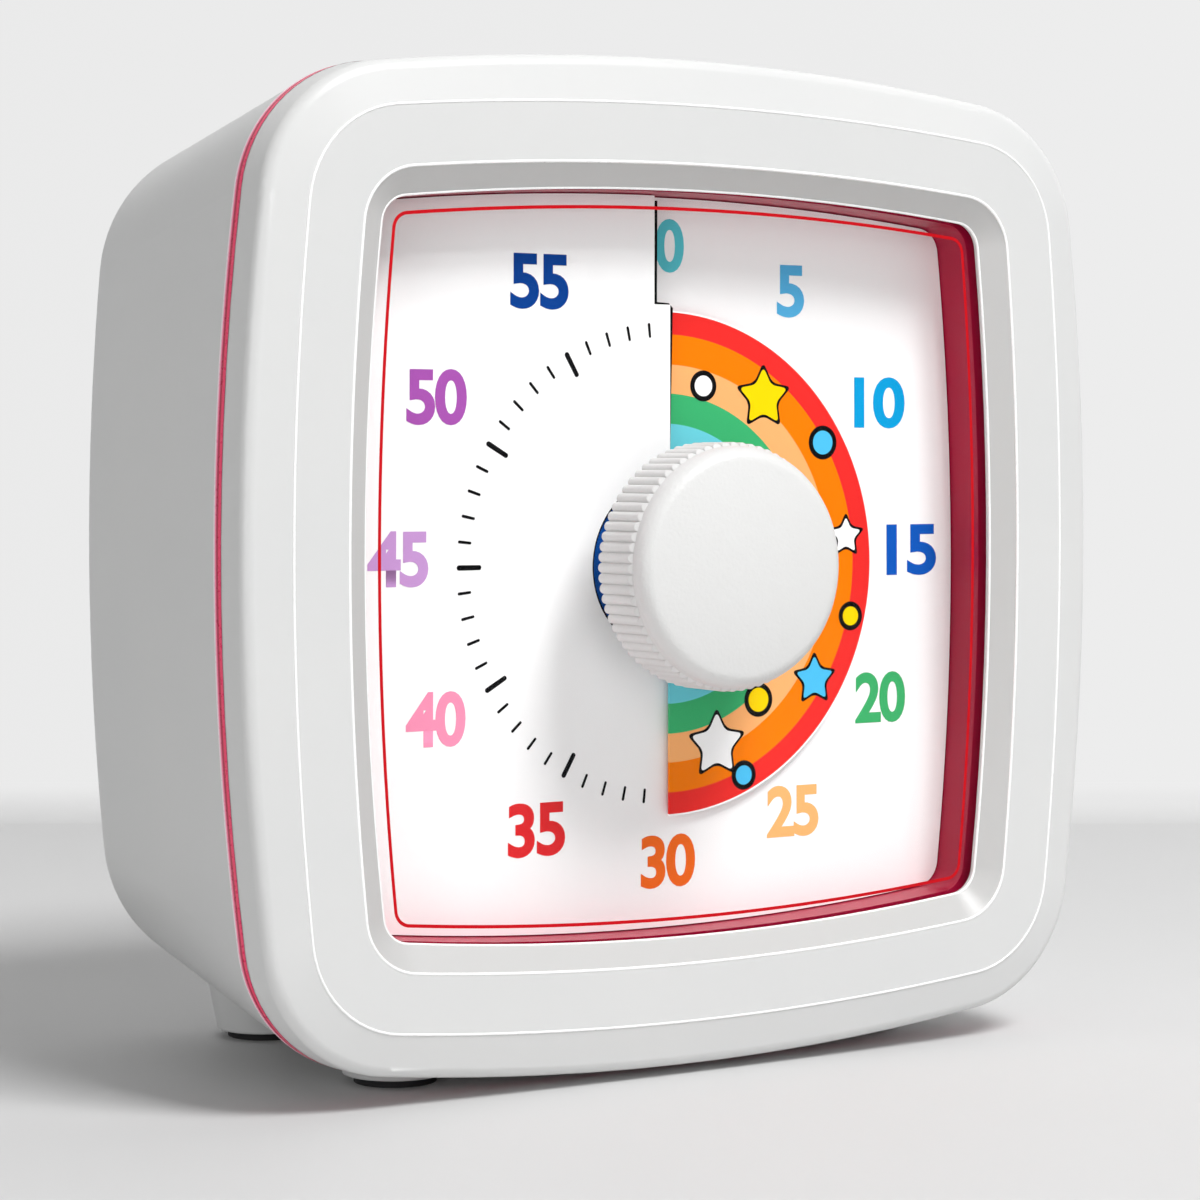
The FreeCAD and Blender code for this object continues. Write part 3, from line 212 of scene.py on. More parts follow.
def surface_group() -> NodeTree:
    """Make the moulded surface: slow colour drift, uneven gloss and a fine grain.

    Returns:
        The group, made once and shared by every finish.
    """
    if "moulded_surface" in bpy.data.node_groups:
        return bpy.data.node_groups["moulded_surface"]
    white = (1.0, 1.0, 1.0, 1.0)
    tree = new_group(
        "moulded_surface",
        {"Colour": white, "Drift": white, "Gloss": 0.4, "Spread": 0.05, "Grain": 1500.0, "Slow": 60.0},
        {"Colour": "NodeSocketColor", "Roughness": "NodeSocketFloat", "Height": "NodeSocketFloat"},
    )
    ends = tree.nodes["in"].outputs
    out = tree.nodes["out"].inputs
    mix = tree.nodes.new("ShaderNodeMix")
    mix.data_type = "RGBA"
    tree.links.new(noise(tree, ends["Slow"], detail=2.0), mix.inputs["Factor"])
    tree.links.new(ends["Colour"], mix.inputs["A"])
    tree.links.new(ends["Drift"], mix.inputs["B"])
    tree.links.new(mix.outputs["Result"], out["Colour"])
    grain = noise(tree, ends["Grain"], detail=3.0)
    tree.links.new(grain, out["Height"])
    tree.links.new(sum_step(tree, "MULTIPLY_ADD", grain, ends["Spread"], ends["Gloss"]), out["Roughness"])
    return tree


def slope_group() -> NodeTree:
    """Make the mask of the bezel's slope, the step between its flat face and the window, where the white is
    darkened as painted shade.

    Returns:
        A group whose value is one on the slope and zero elsewhere.
    """
    sizes = {"Half": 33.4, "Corner": 61.0, "Front": -6.41, "Back": -5.0}
    tree = new_group("slope_mask", sizes, {"Mask": "NodeSocketFloat"})
    ends = tree.nodes["in"].outputs
    step = partial(sum_step, tree)
    split = tree.nodes.new("ShaderNodeSeparateXYZ")
    in_mm = step("MULTIPLY", from_dial(tree), (1 / MM,) * 3, vector=True)
    tree.links.new(in_mm, split.inputs["Vector"])
    side = step("ABSOLUTE", split.outputs["X"])
    height = step("ABSOLUTE", split.outputs["Z"])
    in_square = step("LESS_THAN", step("MAXIMUM", side, height), ends["Half"])
    inside = step("MULTIPLY", in_square, step("LESS_THAN", step("ADD", side, height), ends["Corner"]))
    behind = step("GREATER_THAN", split.outputs["Y"], ends["Front"])
    before = step("LESS_THAN", split.outputs["Y"], ends["Back"])
    mask = step("MULTIPLY", step("MULTIPLY", inside, behind), before)
    tree.links.new(mask, tree.nodes["out"].inputs["Mask"])
    return tree


@dataclass(frozen=True)
class Bands:
    """Printed rings of the time disc, from the middle outwards, each with its outer radius in mm."""

    edges: tuple = (9.0, 11.3, 13.75, 16.1, 18.5, 20.28, 24.0)
    inks: tuple = (Ink.BLUE, Ink.CYAN, Ink.GREEN, Ink.PEACH, Ink.ORANGE, Ink.RED, Ink.PAPER)

    def group(self) -> NodeTree:
        """Make the rings.

        Returns:
            A group that gives the ring's colour by distance from the dial's axis.
        """
        tree = new_group("ring_bands", {"Widest": self.edges[-1] * MM}, {"Colour": "NodeSocketColor"})
        reach = sum_step(tree, "LENGTH", off_axis(tree), vector=True)
        share = sum_step(tree, "DIVIDE", reach, tree.nodes["in"].outputs["Widest"])
        ramp = tree.nodes.new("ShaderNodeValToRGB")
        ramp.color_ramp.interpolation = "CONSTANT"
        stops = ramp.color_ramp.elements
        stops[0].color = linear(self.inks[0])
        stops[1].position = self.edges[0] / self.edges[-1]
        stops[1].color = linear(self.inks[1])
        for edge, ink in zip(self.edges[1:-1], self.inks[2:]):
            stops.new(edge / self.edges[-1]).color = linear(ink)
        tree.links.new(share, ramp.inputs["Fac"])
        tree.links.new(ramp.outputs["Color"], tree.nodes["out"].inputs["Colour"])
        return tree


# Finishes


def new_surface(name: str, values: dict) -> tuple[Material, Node]:
    """Start a material whose shader is fed by the moulded surface.

    Args:
        name: Name of the material.
        values: Values of the moulded surface, by the names of its inputs.

    Returns:
        The material and the node of its surface.
    """
    material = bpy.data.materials.new(name)
    material.use_nodes = True
    tree = material.node_tree
    shader = tree.nodes["Principled BSDF"]
    surface = tree.nodes.new("ShaderNodeGroup")
    surface.node_tree = surface_group()
    set_inputs(surface, values)
    tree.links.new(surface.outputs["Colour"], shader.inputs["Base Color"])
    tree.links.new(surface.outputs["Roughness"], shader.inputs["Roughness"])
    return material, surface


def mix_shaders(tree: NodeTree, share: NodeSocket, first: NodeSocket,
                second: NodeSocket) -> NodeSocket:
    """Mix two shaders.

    Args:
        tree: The material's nodes.
        share: Share of the second shader.
        first: The shader where the share is zero.
        second: The shader where the share is one.

    Returns:
        The socket of the mix.
    """
    blend = tree.nodes.new("ShaderNodeMixShader")
    for value, entry in zip((share, first, second), blend.inputs):
        tree.links.new(value, entry)
    return blend.outputs["Shader"]


@dataclass(frozen=True)
class Finish:
    """One real surface: its colour, gloss, grain and how its edges catch the light."""

    name: str
    ink: Ink | str
    drift: Ink | str
    gloss: float = 0.4
    spread: float = 0.06
    metal: float = 0.0
    coat: float = 0.0
    grain: float = 2500.0
    slow: float = 60.0
    depth: float = 0.01
    edge: float = 0.0
    shine: float = 0.5
    crown: float = 0.0
    crown_reach: float = 9.5
    # Darker white painted over the bezel's slope as painted shade.
    slope: Ink | None = None
    bands: Bands | None = None

    def build(self) -> Material:
        """Make the material with its shader nodes.

        Returns:
            The finished material.
        """
        material, surface = new_surface(self.name, {
            "Colour": linear(self.ink), "Drift": linear(self.drift), "Gloss": self.gloss,
            "Spread": self.spread, "Grain": self.grain, "Slow": self.slow})
        tree = material.node_tree
        shader = tree.nodes["Principled BSDF"]
        if self.bands:
            rings = tree.nodes.new("ShaderNodeGroup")
            rings.node_tree = self.bands.group()
            tree.links.new(rings.outputs["Colour"], surface.inputs["Colour"])
            tree.links.new(rings.outputs["Colour"], surface.inputs["Drift"])
        # Paint shade over the bezel's slope: inside the mask the colour is mixed to a darker white.
        if self.slope:
            mask = tree.nodes.new("ShaderNodeGroup")
            mask.node_tree = slope_group()
            slope_shade = tree.nodes.new("ShaderNodeMix")
            slope_shade.data_type = "RGBA"
            set_inputs(slope_shade, {"B": linear(self.slope)})
            tree.links.new(mask.outputs["Mask"], slope_shade.inputs["Factor"])
            tree.links.new(surface.outputs["Colour"], slope_shade.inputs["A"])
            tree.links.new(slope_shade.outputs["Result"], shader.inputs["Base Color"])
        last = tree.nodes.new("ShaderNodeBump")
        set_inputs(last, {"Distance": self.depth * MM, "Strength": GRAIN_STRENGTH})
        tree.links.new(surface.outputs["Height"], last.inputs["Height"])
        if self.edge > 0:
            round_edge = tree.nodes.new("ShaderNodeBevel")
            round_edge.samples = EDGE_SAMPLES
            set_inputs(round_edge, {"Radius": self.edge * MM})
            tree.links.new(round_edge.outputs["Normal"], last.inputs["Normal"])
        if self.crown > 0:
            last = self.add_crown(tree, last)
        tree.links.new(last.outputs["Normal"], shader.inputs["Normal"])
        set_inputs(shader, {"Metallic": self.metal, "Coat Weight": self.coat,
                            "Specular IOR Level": self.shine})
        return material

    def add_crown(self, tree: NodeTree, grain: Node) -> Node:
        """Let the face swell gently towards the dial's axis.

        Args:
            tree: The material's nodes.
            grain: The bump node of the grain, which the swell carries.

        Returns:
            The bump node of the swell.
        """
        flat = off_axis(tree)
        square = sum_step(tree, "DOT_PRODUCT", flat, flat, vector=True)
        fall = -self.crown * MM / (self.crown_reach * MM) ** 2
        swell = tree.nodes.new("ShaderNodeBump")
        set_inputs(swell, {"Distance": 1.0, "Strength": 1.0})
        tree.links.new(sum_step(tree, "MULTIPLY", square, fall), swell.inputs["Height"])
        tree.links.new(grain.outputs["Normal"], swell.inputs["Normal"])
        return swell


@dataclass(frozen=True)
class ClearFinish:
    """Clear moulded window that lets the light through to the dial."""

    name: str = "clear_window"
    gloss: float = 0.03
    spread: float = 0.02
    bend: float = 1.12

    def build(self) -> Material:
        """Make the clear material, open to light on its way to other surfaces.

        Returns:
            The finished material.
        """
        material, _ = new_surface(self.name, {"Gloss": self.gloss, "Spread": self.spread})
        tree = material.node_tree
        shader = tree.nodes["Principled BSDF"]
        set_inputs(shader, {"IOR": self.bend, "Metallic": 0.0, "Transmission Weight": 1.0})
        clear = tree.nodes.new("ShaderNodeBsdfTransparent")
        path = tree.nodes.new("ShaderNodeLightPath").outputs
        either = sum_step(tree, "MAXIMUM", path["Is Shadow Ray"], path["Is Diffuse Ray"])
        blend = mix_shaders(tree, either, shader.outputs["BSDF"], clear.outputs["BSDF"])
        tree.links.new(blend, tree.nodes["Material Output"].inputs["Surface"])
        return material


FINISHES = (
    Finish("white_plastic", Ink.WHITE, Ink.COOL_WHITE, 0.3, edge=0.3, depth=0.003),
    # The bezel's slope carries painted shade.
    Finish("bezel_plastic", Ink.WHITE, Ink.COOL_WHITE, 0.3, edge=0.3, depth=0.003, slope=Ink.SLOPE_SHADE),
    Finish("crimson_plastic", Ink.CRIMSON, Ink.DEEP_CRIMSON, 0.3, edge=0.1, depth=0.002, shine=0.3),
    Finish("dial_film", Ink.PAPER, Ink.PAPER_SHADE, 0.6, depth=0.003, shine=0.1),
    Finish("disc_film", Ink.PAPER, Ink.PAPER, 0.6, depth=0.003, shine=0.06, bands=Bands()),
    Finish("knob_plastic", Ink.KNOB_WHITE, Ink.KNOB_WHITE, 0.42, edge=0.12, grain=3200.0, depth=0.06,
           crown=0.75),
    # White of the crest beads: painted highlight.
    Finish("painted_highlight", Ink.EDGE_HIGHLIGHT, Ink.EDGE_HIGHLIGHT, 0.25, depth=0.001),
    Finish("black_rubber", Ink.SOFT_BLACK, Ink.BLACK, 0.75, depth=0.02),
    Finish("black_plastic", Ink.SOFT_BLACK, Ink.BLACK, 0.45, edge=0.1),
    Finish("grey_plastic", Ink.GREY, Ink.STEEL, 0.5, edge=0.1),
    Finish("white_nylon", Ink.NYLON, Ink.WHITE, 0.45),
    Finish("steel", Ink.STEEL, Ink.GREY, 0.28, metal=1.0, grain=6000.0),
    Finish("spring_steel", Ink.STEEL, Ink.GREY, 0.22, metal=1.0),
    Finish("brass", Ink.BRASS, Ink.BRASS, 0.3, metal=1.0, grain=5000.0),
    Finish("magnet", Ink.IRON, Ink.SOFT_BLACK, 0.5, metal=1.0),
    Finish("iron", Ink.IRON, Ink.GREY, 0.45, metal=1.0),
    Finish("copper", Ink.COPPER, Ink.BRASS, 0.3, metal=1.0, grain=9000.0, depth=0.03),
    Finish("green_board", Ink.BOARD, Ink.GREEN, 0.35, coat=0.4, slow=400.0),
    Finish("nickel", Ink.STEEL, Ink.STEEL, 0.2, metal=1.0),
    Finish("cell_jacket", Ink.CELL, Ink.SOFT_BLACK, 0.3, coat=0.3),
    ClearFinish(),
)

FINISHED_PARTS = {
    "white_plastic": ("rear_shell", "battery_door"),
    "bezel_plastic": ("front_bezel",),
    "crimson_plastic": ("crimson_liner",),
    "clear_window": ("window_lens",),
    "knob_plastic": ("knob",),
    "black_rubber": ("rubber_feet",),
    "dial_film": ("dial_sheet",),
    "disc_film": ("time_disc",),
    "white_nylon": ("disc_hub", "clutch_wheel", "third_wheel", "second_wheel", "middle_wheel", "rotor"),
    "steel": ("case_screws", "movement_screws", "board_screws", "knob_spindle"),
    "spring_steel": ("clutch_spring", "retaining_clip"),
    "brass": ("spindle_bush", "buzzer_disc"),
    "grey_plastic": ("backing_plate", "movement_case_front"),
    "black_plastic": ("movement_case_back", "coil_bobbin", "controller_chip", "alarm_switch_body",
                      "alarm_switch_slider"),
    "magnet": ("rotor_magnet",),
    "iron": ("stator", "coil_core"),
    "copper": ("coil_winding",),
    "green_board": ("circuit_board",),
    "nickel": ("quartz_crystal", "battery_contact_plate", "battery_spring"),
    "cell_jacket": ("battery_cell",),
}


class Paintbox:
    """Builds each finish once and puts it on the pieces."""

    def __init__(self) -> None:
        """Build every finish."""
        self.materials = {finish.name: finish.build() for finish in FINISHES}

    def stamp(self, piece: Object, name: str, ink: Ink | str) -> None:
        """Print a piece with an ink that dries slightly satin.

        Args:
            piece: The mesh object.
            name: Name of the ink's material.
            ink: A colour of the list, or six hex digits.
        """
        if name not in self.materials:
            self.materials[name] = Finish(name, ink, ink, gloss=0.6, depth=0.002, shine=0.06).build()
        self.dress(piece, name)

    def dress(self, piece: Object, name: str) -> None:
        """Put one finish on a piece.

        Args:
            piece: The mesh object.
            name: Name of the finish.
        """
        piece.data.materials.clear()
        piece.data.materials.append(self.materials[name])

    def dress_nodes(self) -> None:
        """Give every moulded, turned and pressed part of the timer its finish."""
        for name, parts in FINISHED_PARTS.items():
            for part in parts:
                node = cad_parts[part]
                if not node.material_slots:
                    node.data.materials.append(self.materials[name])
                for slot in node.material_slots:
                    slot.material = self.materials[name]
                log.info("dressed %s in %s", part, name)


# Working by hand


def leave_edit() -> None:
    """Go back to object mode."""
    bpy.ops.object.mode_set(mode="OBJECT")


def clear_selection() -> None:
    """Leave nothing selected."""
    if bpy.context.object and bpy.context.object.mode != "OBJECT":
        leave_edit()
    bpy.ops.object.select_all(action="DESELECT")


def choose(*pieces: Object) -> None:
    """Select only some pieces.

    Args:
        pieces: The pieces, the first of which becomes active.
    """
    clear_selection()
    for piece in pieces:
        piece.select_set(True)
    bpy.context.view_layer.objects.active = pieces[0]


def pick(piece: Object, kind: str, wanted: Callable[..., bool]) -> None:
    """Open a piece in edit mode with only some of its points or edges selected.

    Args:
        piece: The active mesh object.
        kind: "VERT" for points or "EDGE" for edges.
        wanted: Function that tells whether a point or edge is selected.
    """
    bpy.ops.object.mode_set(mode="EDIT")
    bpy.ops.mesh.select_mode(type=kind)
    bpy.ops.mesh.select_all(action="DESELECT")
    leave_edit()
    for part in piece.data.vertices if kind == "VERT" else piece.data.edges:
        part.select = wanted(part)
    bpy.ops.object.mode_set(mode="EDIT")


def apply_place(piece: Object) -> None:
    """Move a piece's place, turn and scale into its mesh."""
    choose(piece)
    bpy.ops.object.transform_apply(location=True, rotation=True, scale=True)


def turn_faces(piece: Object, side: Callable[[BMFace], float]) -> None:
    """Turn each face of an open piece to the side that is seen.

    Args:
        piece: The mesh object.
        side: Function that is negative for a face that points the wrong way.
    """
    mesh = bmesh.new()
    mesh.from_mesh(piece.data)
    mesh.normal_update()
    bmesh.ops.reverse_faces(mesh, faces=[face for face in mesh.faces if side(face) < 0])
    mesh.to_mesh(piece.data)
    mesh.free()


def face_viewer(piece: Object) -> None:
    """Turn each face of a flat print towards the dial's viewer."""
    turn_faces(piece, lambda face: -face.normal.y)


def on_dial(radius: float, turn: float, depth: float = IN_FRONT) -> Vector:
    """Find a place over the dial.

    Args:
        radius: Distance from the dial's axis in mm.
        turn: Share of a turn clockwise from twelve o'clock.
        depth: Place along the dial's axis in mm, negative towards the viewer.

    Returns:
        The point in metres.
    """
    angle = FULL_TURN * turn
    return DIAL_CENTRE + Vector((radius * math.sin(angle), depth, radius * math.cos(angle))) * MM


def lay_on(piece: Object, node: str, lift: float) -> None:
    """Press a print onto the front of a sheet.

    Args:
        piece: The print, in front of the sheet.
        node: The sheet that carries it.
        lift: Distance that the print keeps above the sheet, in mm.
    """
    wrap = piece.modifiers.new("press", "SHRINKWRAP")
    wrap.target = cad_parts[node]
    wrap.wrap_method = "PROJECT"
    wrap.use_project_y = True
    wrap.offset = lift * MM
    choose(piece)
    bpy.ops.object.modifier_apply(modifier=wrap.name)
    face_viewer(piece)


def flat_text(label: str, name: str, size: float = 1.0, bold: float = 0.0, spacing: float = 1.0,
              steps: int = 12) -> Object:
    """Write a label as a flat mesh, centred on the origin.

    Args:
        label: The text.
        name: Name of the piece.
        size: Size of the letters in metres.
        bold: Distance that the letters swell.
        spacing: Spacing of the letters.
        steps: Steps of each curve.

    Returns:
        The mesh, not yet put in its place.
    """
    clear_selection()
    bpy.ops.object.text_add(location=(0.0, 0.0, 0.0))
    text = bpy.context.object.data
    text.body = label
    text.align_x = "CENTER"
    text.align_y = "CENTER"
    text.size = size
    text.offset = bold
    text.space_character = spacing
    text.resolution_u = steps
    bpy.ops.object.convert(target="MESH")
    piece = bpy.context.object
    piece.name = name
    return piece


def place_piece(name: str, data: ID) -> Object:
    """Put a mesh or a curve into the scene.

    Args:
        name: Name of the piece.
        data: The mesh or curve.

    Returns:
        The piece, alone selected.
    """
    piece = bpy.data.objects.new(name, data)
    bpy.context.scene.collection.objects.link(piece)
    choose(piece)
    return piece


def wire(name: str, route: list[Vector], radius: float, closed: bool) -> Object:
    """Draw a round wire along a route.

    Args:
        name: Name of the piece.
        route: Points in metres.
        radius: Radius of the wire in mm.
        closed: True for a ring.

    Returns:
        The wire as a smooth mesh.
    """
    curve = bpy.data.curves.new(name, "CURVE")
    curve.dimensions = "3D"
    curve.bevel_depth = radius * MM
    curve.bevel_resolution = 2
    curve.use_fill_caps = not closed
    line = curve.splines.new("POLY")
    line.use_cyclic_u = closed
    line.points.add(len(route) - 1)
    for point, place in zip(line.points, route):
        point.co = (*place, 1.0)
    place_piece(name, curve)
    bpy.ops.object.convert(target="MESH")
    bpy.ops.object.shade_smooth()
    return bpy.context.object


def ring_mesh(name: str, ring: list[Vector], filled: bool) -> Object:
    """Lay a closed ring of points as a mesh.

    Args:
        name: Name of the piece.
        ring: Points in metres.
        filled: True for one face, False for the edges alone.

    Returns:
        The piece, in edit mode with all of it selected.
    """
    mesh = bpy.data.meshes.new(name)
    count = len(ring)
    edges = [] if filled else [(i, (i + 1) % count) for i in range(count)]
    faces = [list(range(count))] if filled else []
    mesh.from_pydata([tuple(point) for point in ring], edges, faces)
    piece = place_piece(name, mesh)
    bpy.ops.object.mode_set(mode="EDIT")
    bpy.ops.mesh.select_mode(type="FACE" if filled else "EDGE")
    bpy.ops.mesh.select_all(action="SELECT")
    return piece


@dataclass
class Detail:
    """A detail added to the timer, which takes its finishes from the paintbox."""

    paint: Paintbox


# The printed dial


@dataclass
class DialPrint(Detail):
    """Numbers and minute marks printed on the dial sheet."""

    ring: float = 25.0
    shift: tuple = (0.35, 0.75)
    zero_aside: float = 0.6
    digit_height: float = 4.35
    digit_width: float = 2.75
    pair_width: float = 5.3
    boldness: float = 0.03
    spacing: float = 0.93
    curve_steps: int = 6
    weld: float = 0.01
    inks: tuple = ("5BC8D4", "56B0E0", "0A9DD8", "1059BD", "3FAE6A", "FBB773",
                   "F06A1E", "E02A2E", "F392B3", "C496D0", "A754AE", "073F8F")
    tick_outer: float = 19.5
    short_tick: tuple = (18.3, 0.24)
    long_tick: tuple = (17.3, 0.42)
    tick_corners: int = 16
    hair: float = 0.001
    lift: float = 0.02

    def number(self, index: int) -> None:
        """Print one number upright on its place of the ring.

        Args:
            index: Place on the ring, 0 at the top and one step for five minutes.
        """
        label = str(index * MARK_STEP)
        piece = flat_text(label, f"number_{label}", bold=self.boldness, spacing=self.spacing,
                          steps=self.curve_steps)
        low = Vector(piece.bound_box[0])
        high = Vector(piece.bound_box[6])
        width = self.digit_width if len(label) == 1 else self.pair_width
        piece.data.transform(Matrix.Translation(-(low + high) / 2))
        piece.scale = (width * MM / (high.x - low.x), self.digit_height * MM / (high.y - low.y), 1.0)
        piece.rotation_euler = FACE_FRONT
        place = on_dial(self.ring, index * MARK_STEP / MINUTES)
        aside = self.shift[0] + (self.zero_aside if index == 0 else 0.0)
        piece.location = place + Vector((aside, 0.0, self.shift[1])) * MM
        apply_place(piece)
        bpy.ops.object.mode_set(mode="EDIT")
        bpy.ops.mesh.select_all(action="SELECT")
        bpy.ops.mesh.remove_doubles(threshold=self.weld * MM)
        leave_edit()
        lay_on(piece, "dial_sheet", self.lift)
        self.paint.stamp(piece, f"ink_{label}", self.inks[index])
        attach(piece, "root")

    def tick(self, inner: float, width: float) -> Object:
        """Draw one mark at twelve o'clock with round ends.

        Args:
            inner: Radius of the mark's inner end in mm.
            width: Width of the mark in mm.

        Returns:
            The mark, in front of the dial.
        """
        clear_selection()
        middle = on_dial(self.tick_outer - width / 2, 0.0)
        bpy.ops.mesh.primitive_circle_add(vertices=self.tick_corners, radius=width / 2 * MM,
                                          fill_type="NGON", location=middle, rotation=FACE_FRONT)
        piece = bpy.context.object
        apply_place(piece)
        pick(piece, "VERT", lambda point: point.co.z < middle.z - self.hair * MM)
        bpy.ops.transform.translate(value=(0.0, 0.0, -(self.tick_outer - width - inner) * MM))
        leave_edit()
        return piece

    def ticks(self) -> None:
        """Print the ring of minute marks, longer at every fifth minute."""
        marks = []
        for minute in (m for m in range(1, MINUTES) if m != MINUTES // 2):
            inner, width = self.long_tick if minute % MARK_STEP == 0 else self.short_tick
            mark = self.tick(inner, width)
            turn = Matrix.Rotation(FULL_TURN * minute / MINUTES, 4, "Y")
            mark.data.transform(Matrix.Translation(DIAL_CENTRE) @ turn @ Matrix.Translation(-DIAL_CENTRE))
            marks.append(mark)
        choose(*marks)
        bpy.ops.object.join()
        ring = bpy.context.object
        ring.name = "minute_marks"
        ring.data.name = "minute_marks"
        lay_on(ring, "dial_sheet", self.lift)
        self.paint.stamp(ring, "ink_black", Ink.BLACK)
        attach(ring, "root")
        log.info("printed %d minute marks", len(marks))

    def build(self) -> None:
        """Print the whole dial."""
        for index in range(len(self.inks)):
            self.number(index)
        log.info("printed %d numbers", len(self.inks))
        self.ticks()


class Shape(Enum):
    """Outline of a printed motif."""

    STAR = "star"
    DOT = "dot"


@dataclass(frozen=True)
class Motif:
    """One small motif on the disc: its outline, place, half-width in mm and colour."""

    shape: Shape
    turn: float
    radius: float
    size: float
    ink: Ink


@dataclass
class DiscPrint(Detail):
    """Stars and dots with dark outlines, strewn over the coloured rings."""

    outline: float = 0.42
    lift: float = 0.015
    hover: float = -6.0
    star_corners: int = 10
    dot_corners: int = 28
    point_share: float = 0.52
    point_round: float = 0.16
    point_steps: int = 4
    motifs: tuple = (
        Motif(Shape.STAR, 0.098, 16.6, 2.5, Ink.YELLOW),
        Motif(Shape.DOT, 0.040, 14.9, 0.85, Ink.PAPER),
        Motif(Shape.DOT, 0.160, 18.4, 1.0, Ink.SKY),
        Motif(Shape.STAR, 0.232, 18.0, 1.6, Ink.PAPER),
        Motif(Shape.DOT, 0.290, 18.9, 0.8, Ink.YELLOW),
        Motif(Shape.STAR, 0.345, 17.6, 2.0, Ink.SKY),
        Motif(Shape.DOT, 0.395, 14.4, 1.0, Ink.YELLOW),
        Motif(Shape.STAR, 0.452, 15.6, 2.7, Ink.PAPER),
        Motif(Shape.DOT, 0.437, 19.0, 0.8, Ink.SKY),
        Motif(Shape.STAR, 0.560, 15.0, 2.2, Ink.SKY),
        Motif(Shape.DOT, 0.620, 18.2, 1.0, Ink.YELLOW),
        Motif(Shape.STAR, 0.690, 14.8, 2.6, Ink.YELLOW),
        Motif(Shape.DOT, 0.745, 18.0, 0.9, Ink.PAPER),
        Motif(Shape.STAR, 0.810, 16.0, 2.3, Ink.PAPER),
        Motif(Shape.DOT, 0.865, 13.2, 0.9, Ink.SKY),
        Motif(Shape.STAR, 0.930, 17.2, 2.0, Ink.YELLOW),
    )

    def cut(self, motif: Motif, size: float) -> Object:
        """Cut one flat motif and hold it over its place.

        Args:
            motif: The motif.
            size: Half-width in mm.

        Returns:
            The flat piece in front of the disc.
        """
        clear_selection()
        is_star = motif.shape is Shape.STAR
        bpy.ops.mesh.primitive_circle_add(vertices=self.star_corners if is_star else self.dot_corners,
                                          radius=size * MM, fill_type="NGON", location=(0.0, 0.0, 0.0))
        piece = bpy.context.object
        if is_star:
            pick(piece, "VERT", lambda point: point.index % 2 == 1)
            bpy.ops.transform.resize(value=(self.point_share,) * 3, center_override=(0.0, 0.0, 0.0))
            bpy.ops.mesh.select_all(action="SELECT")
            bpy.ops.mesh.bevel(offset=self.point_round * size * MM, segments=self.point_steps,
                               affect="VERTICES")
            leave_edit()
        piece.rotation_euler = FACE_FRONT
        piece.location = on_dial(motif.radius, motif.turn, self.hover)
        apply_place(piece)
        return piece

    def build(self) -> None:
        """Print every motif: a dark outline below and the colour on top."""
        for number, motif in enumerate(self.motifs):
            layers = (("edge", motif.size + self.outline, self.lift, "ink_outline", Ink.BLACK),
                      ("fill", motif.size, 2 * self.lift, f"ink_{motif.ink.name.lower()}", motif.ink))
            for label, size, lift, name, ink in layers:
                piece = self.cut(motif, size)
                piece.name = f"{motif.shape.value}_{number:02d}_{label}"
                lay_on(piece, "time_disc", lift)
                self.paint.stamp(piece, name, ink)
                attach(piece, "disc")
        log.info("printed %d motifs on the disc", len(self.motifs))


# Lines that follow the case


@dataclass(frozen=True)
class Outline:
    """Square of four bulged sides and four round corners, in mm."""

    half: float
    bulge: float
    corner: float
    steps: int = 24

    def points(self, depth: float) -> list[Vector]:
        """Walk round the outline.

        Args:
            depth: Place along the dial's axis in mm.

        Returns:
            Points in metres, anticlockwise as the viewer sees them.
        """
        side_x = self.half - self.bulge
        corner_x = (side_x + math.sqrt(2 * (self.bulge - self.corner) ** 2 - side_x * side_x)) / 2
        swing = math.atan2(corner_x, corner_x - side_x)
        quarter = []
        for i in range(self.steps):
            angle = -swing + 2 * swing * i / self.steps
            quarter.append((side_x + self.bulge * math.cos(angle), self.bulge * math.sin(angle)))
        for i in range(self.steps // 2):
            angle = swing + (math.pi / 2 - 2 * swing) * i / (self.steps // 2)
            quarter.append((corner_x + self.corner * math.cos(angle),
                            corner_x + self.corner * math.sin(angle)))
        return [DIAL_CENTRE + Vector((x * cos - y * sin, depth, x * sin + y * cos)) * MM
                for cos, sin in ((1, 0), (0, 1), (-1, 0), (0, -1)) for x, y in quarter]


@dataclass
class CutLine(Detail):
    """Black line along the sheet's cut edge, a painted shadow of the gap between sheet and disc, from the
    hub hole out past the step to the sheet's end.
    """

    hole: float = 7.25
    step: float = 20.9
    end: float = 29.2
    step_left: float = 1.5
    corner: float = 0.3
    overshoot: float = 0.1
    past: float = 0.26
    thick: float = 0.16
    depth: float = -0.66
    climb: float = 1.6
    hole_turns: tuple = (0.56, 1.0)
    hole_steps: int = 28

    def build(self) -> None:
        """Run the painted shadow line along the cut, round the hub hole and up to the top."""
        route = []
        for i in range(self.hole_steps + 1):
            turn = self.hole_turns[0] + (self.hole_turns[1] - self.hole_turns[0]) * i / self.hole_steps
            route.append(on_dial(self.hole - self.past, turn, self.depth + self.climb * (1 - turn)))
        left = self.past - self.step_left
        for across, height in ((self.past, self.step - self.corner), (self.past - self.corner, self.step),
                               (left, self.step + self.overshoot), (left, self.end)):
            route.append(on_dial(0, 0, self.depth) + Vector((across, 0, height)) * MM)
        piece = wire("cut_shadow", route, self.thick, False)
        # The black ink here is painted shadow along the cut, not print.
        self.paint.stamp(piece, "ink_black", Ink.BLACK)
        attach(piece, "root")
        log.info("ran the dark rim along the sheet's cut")


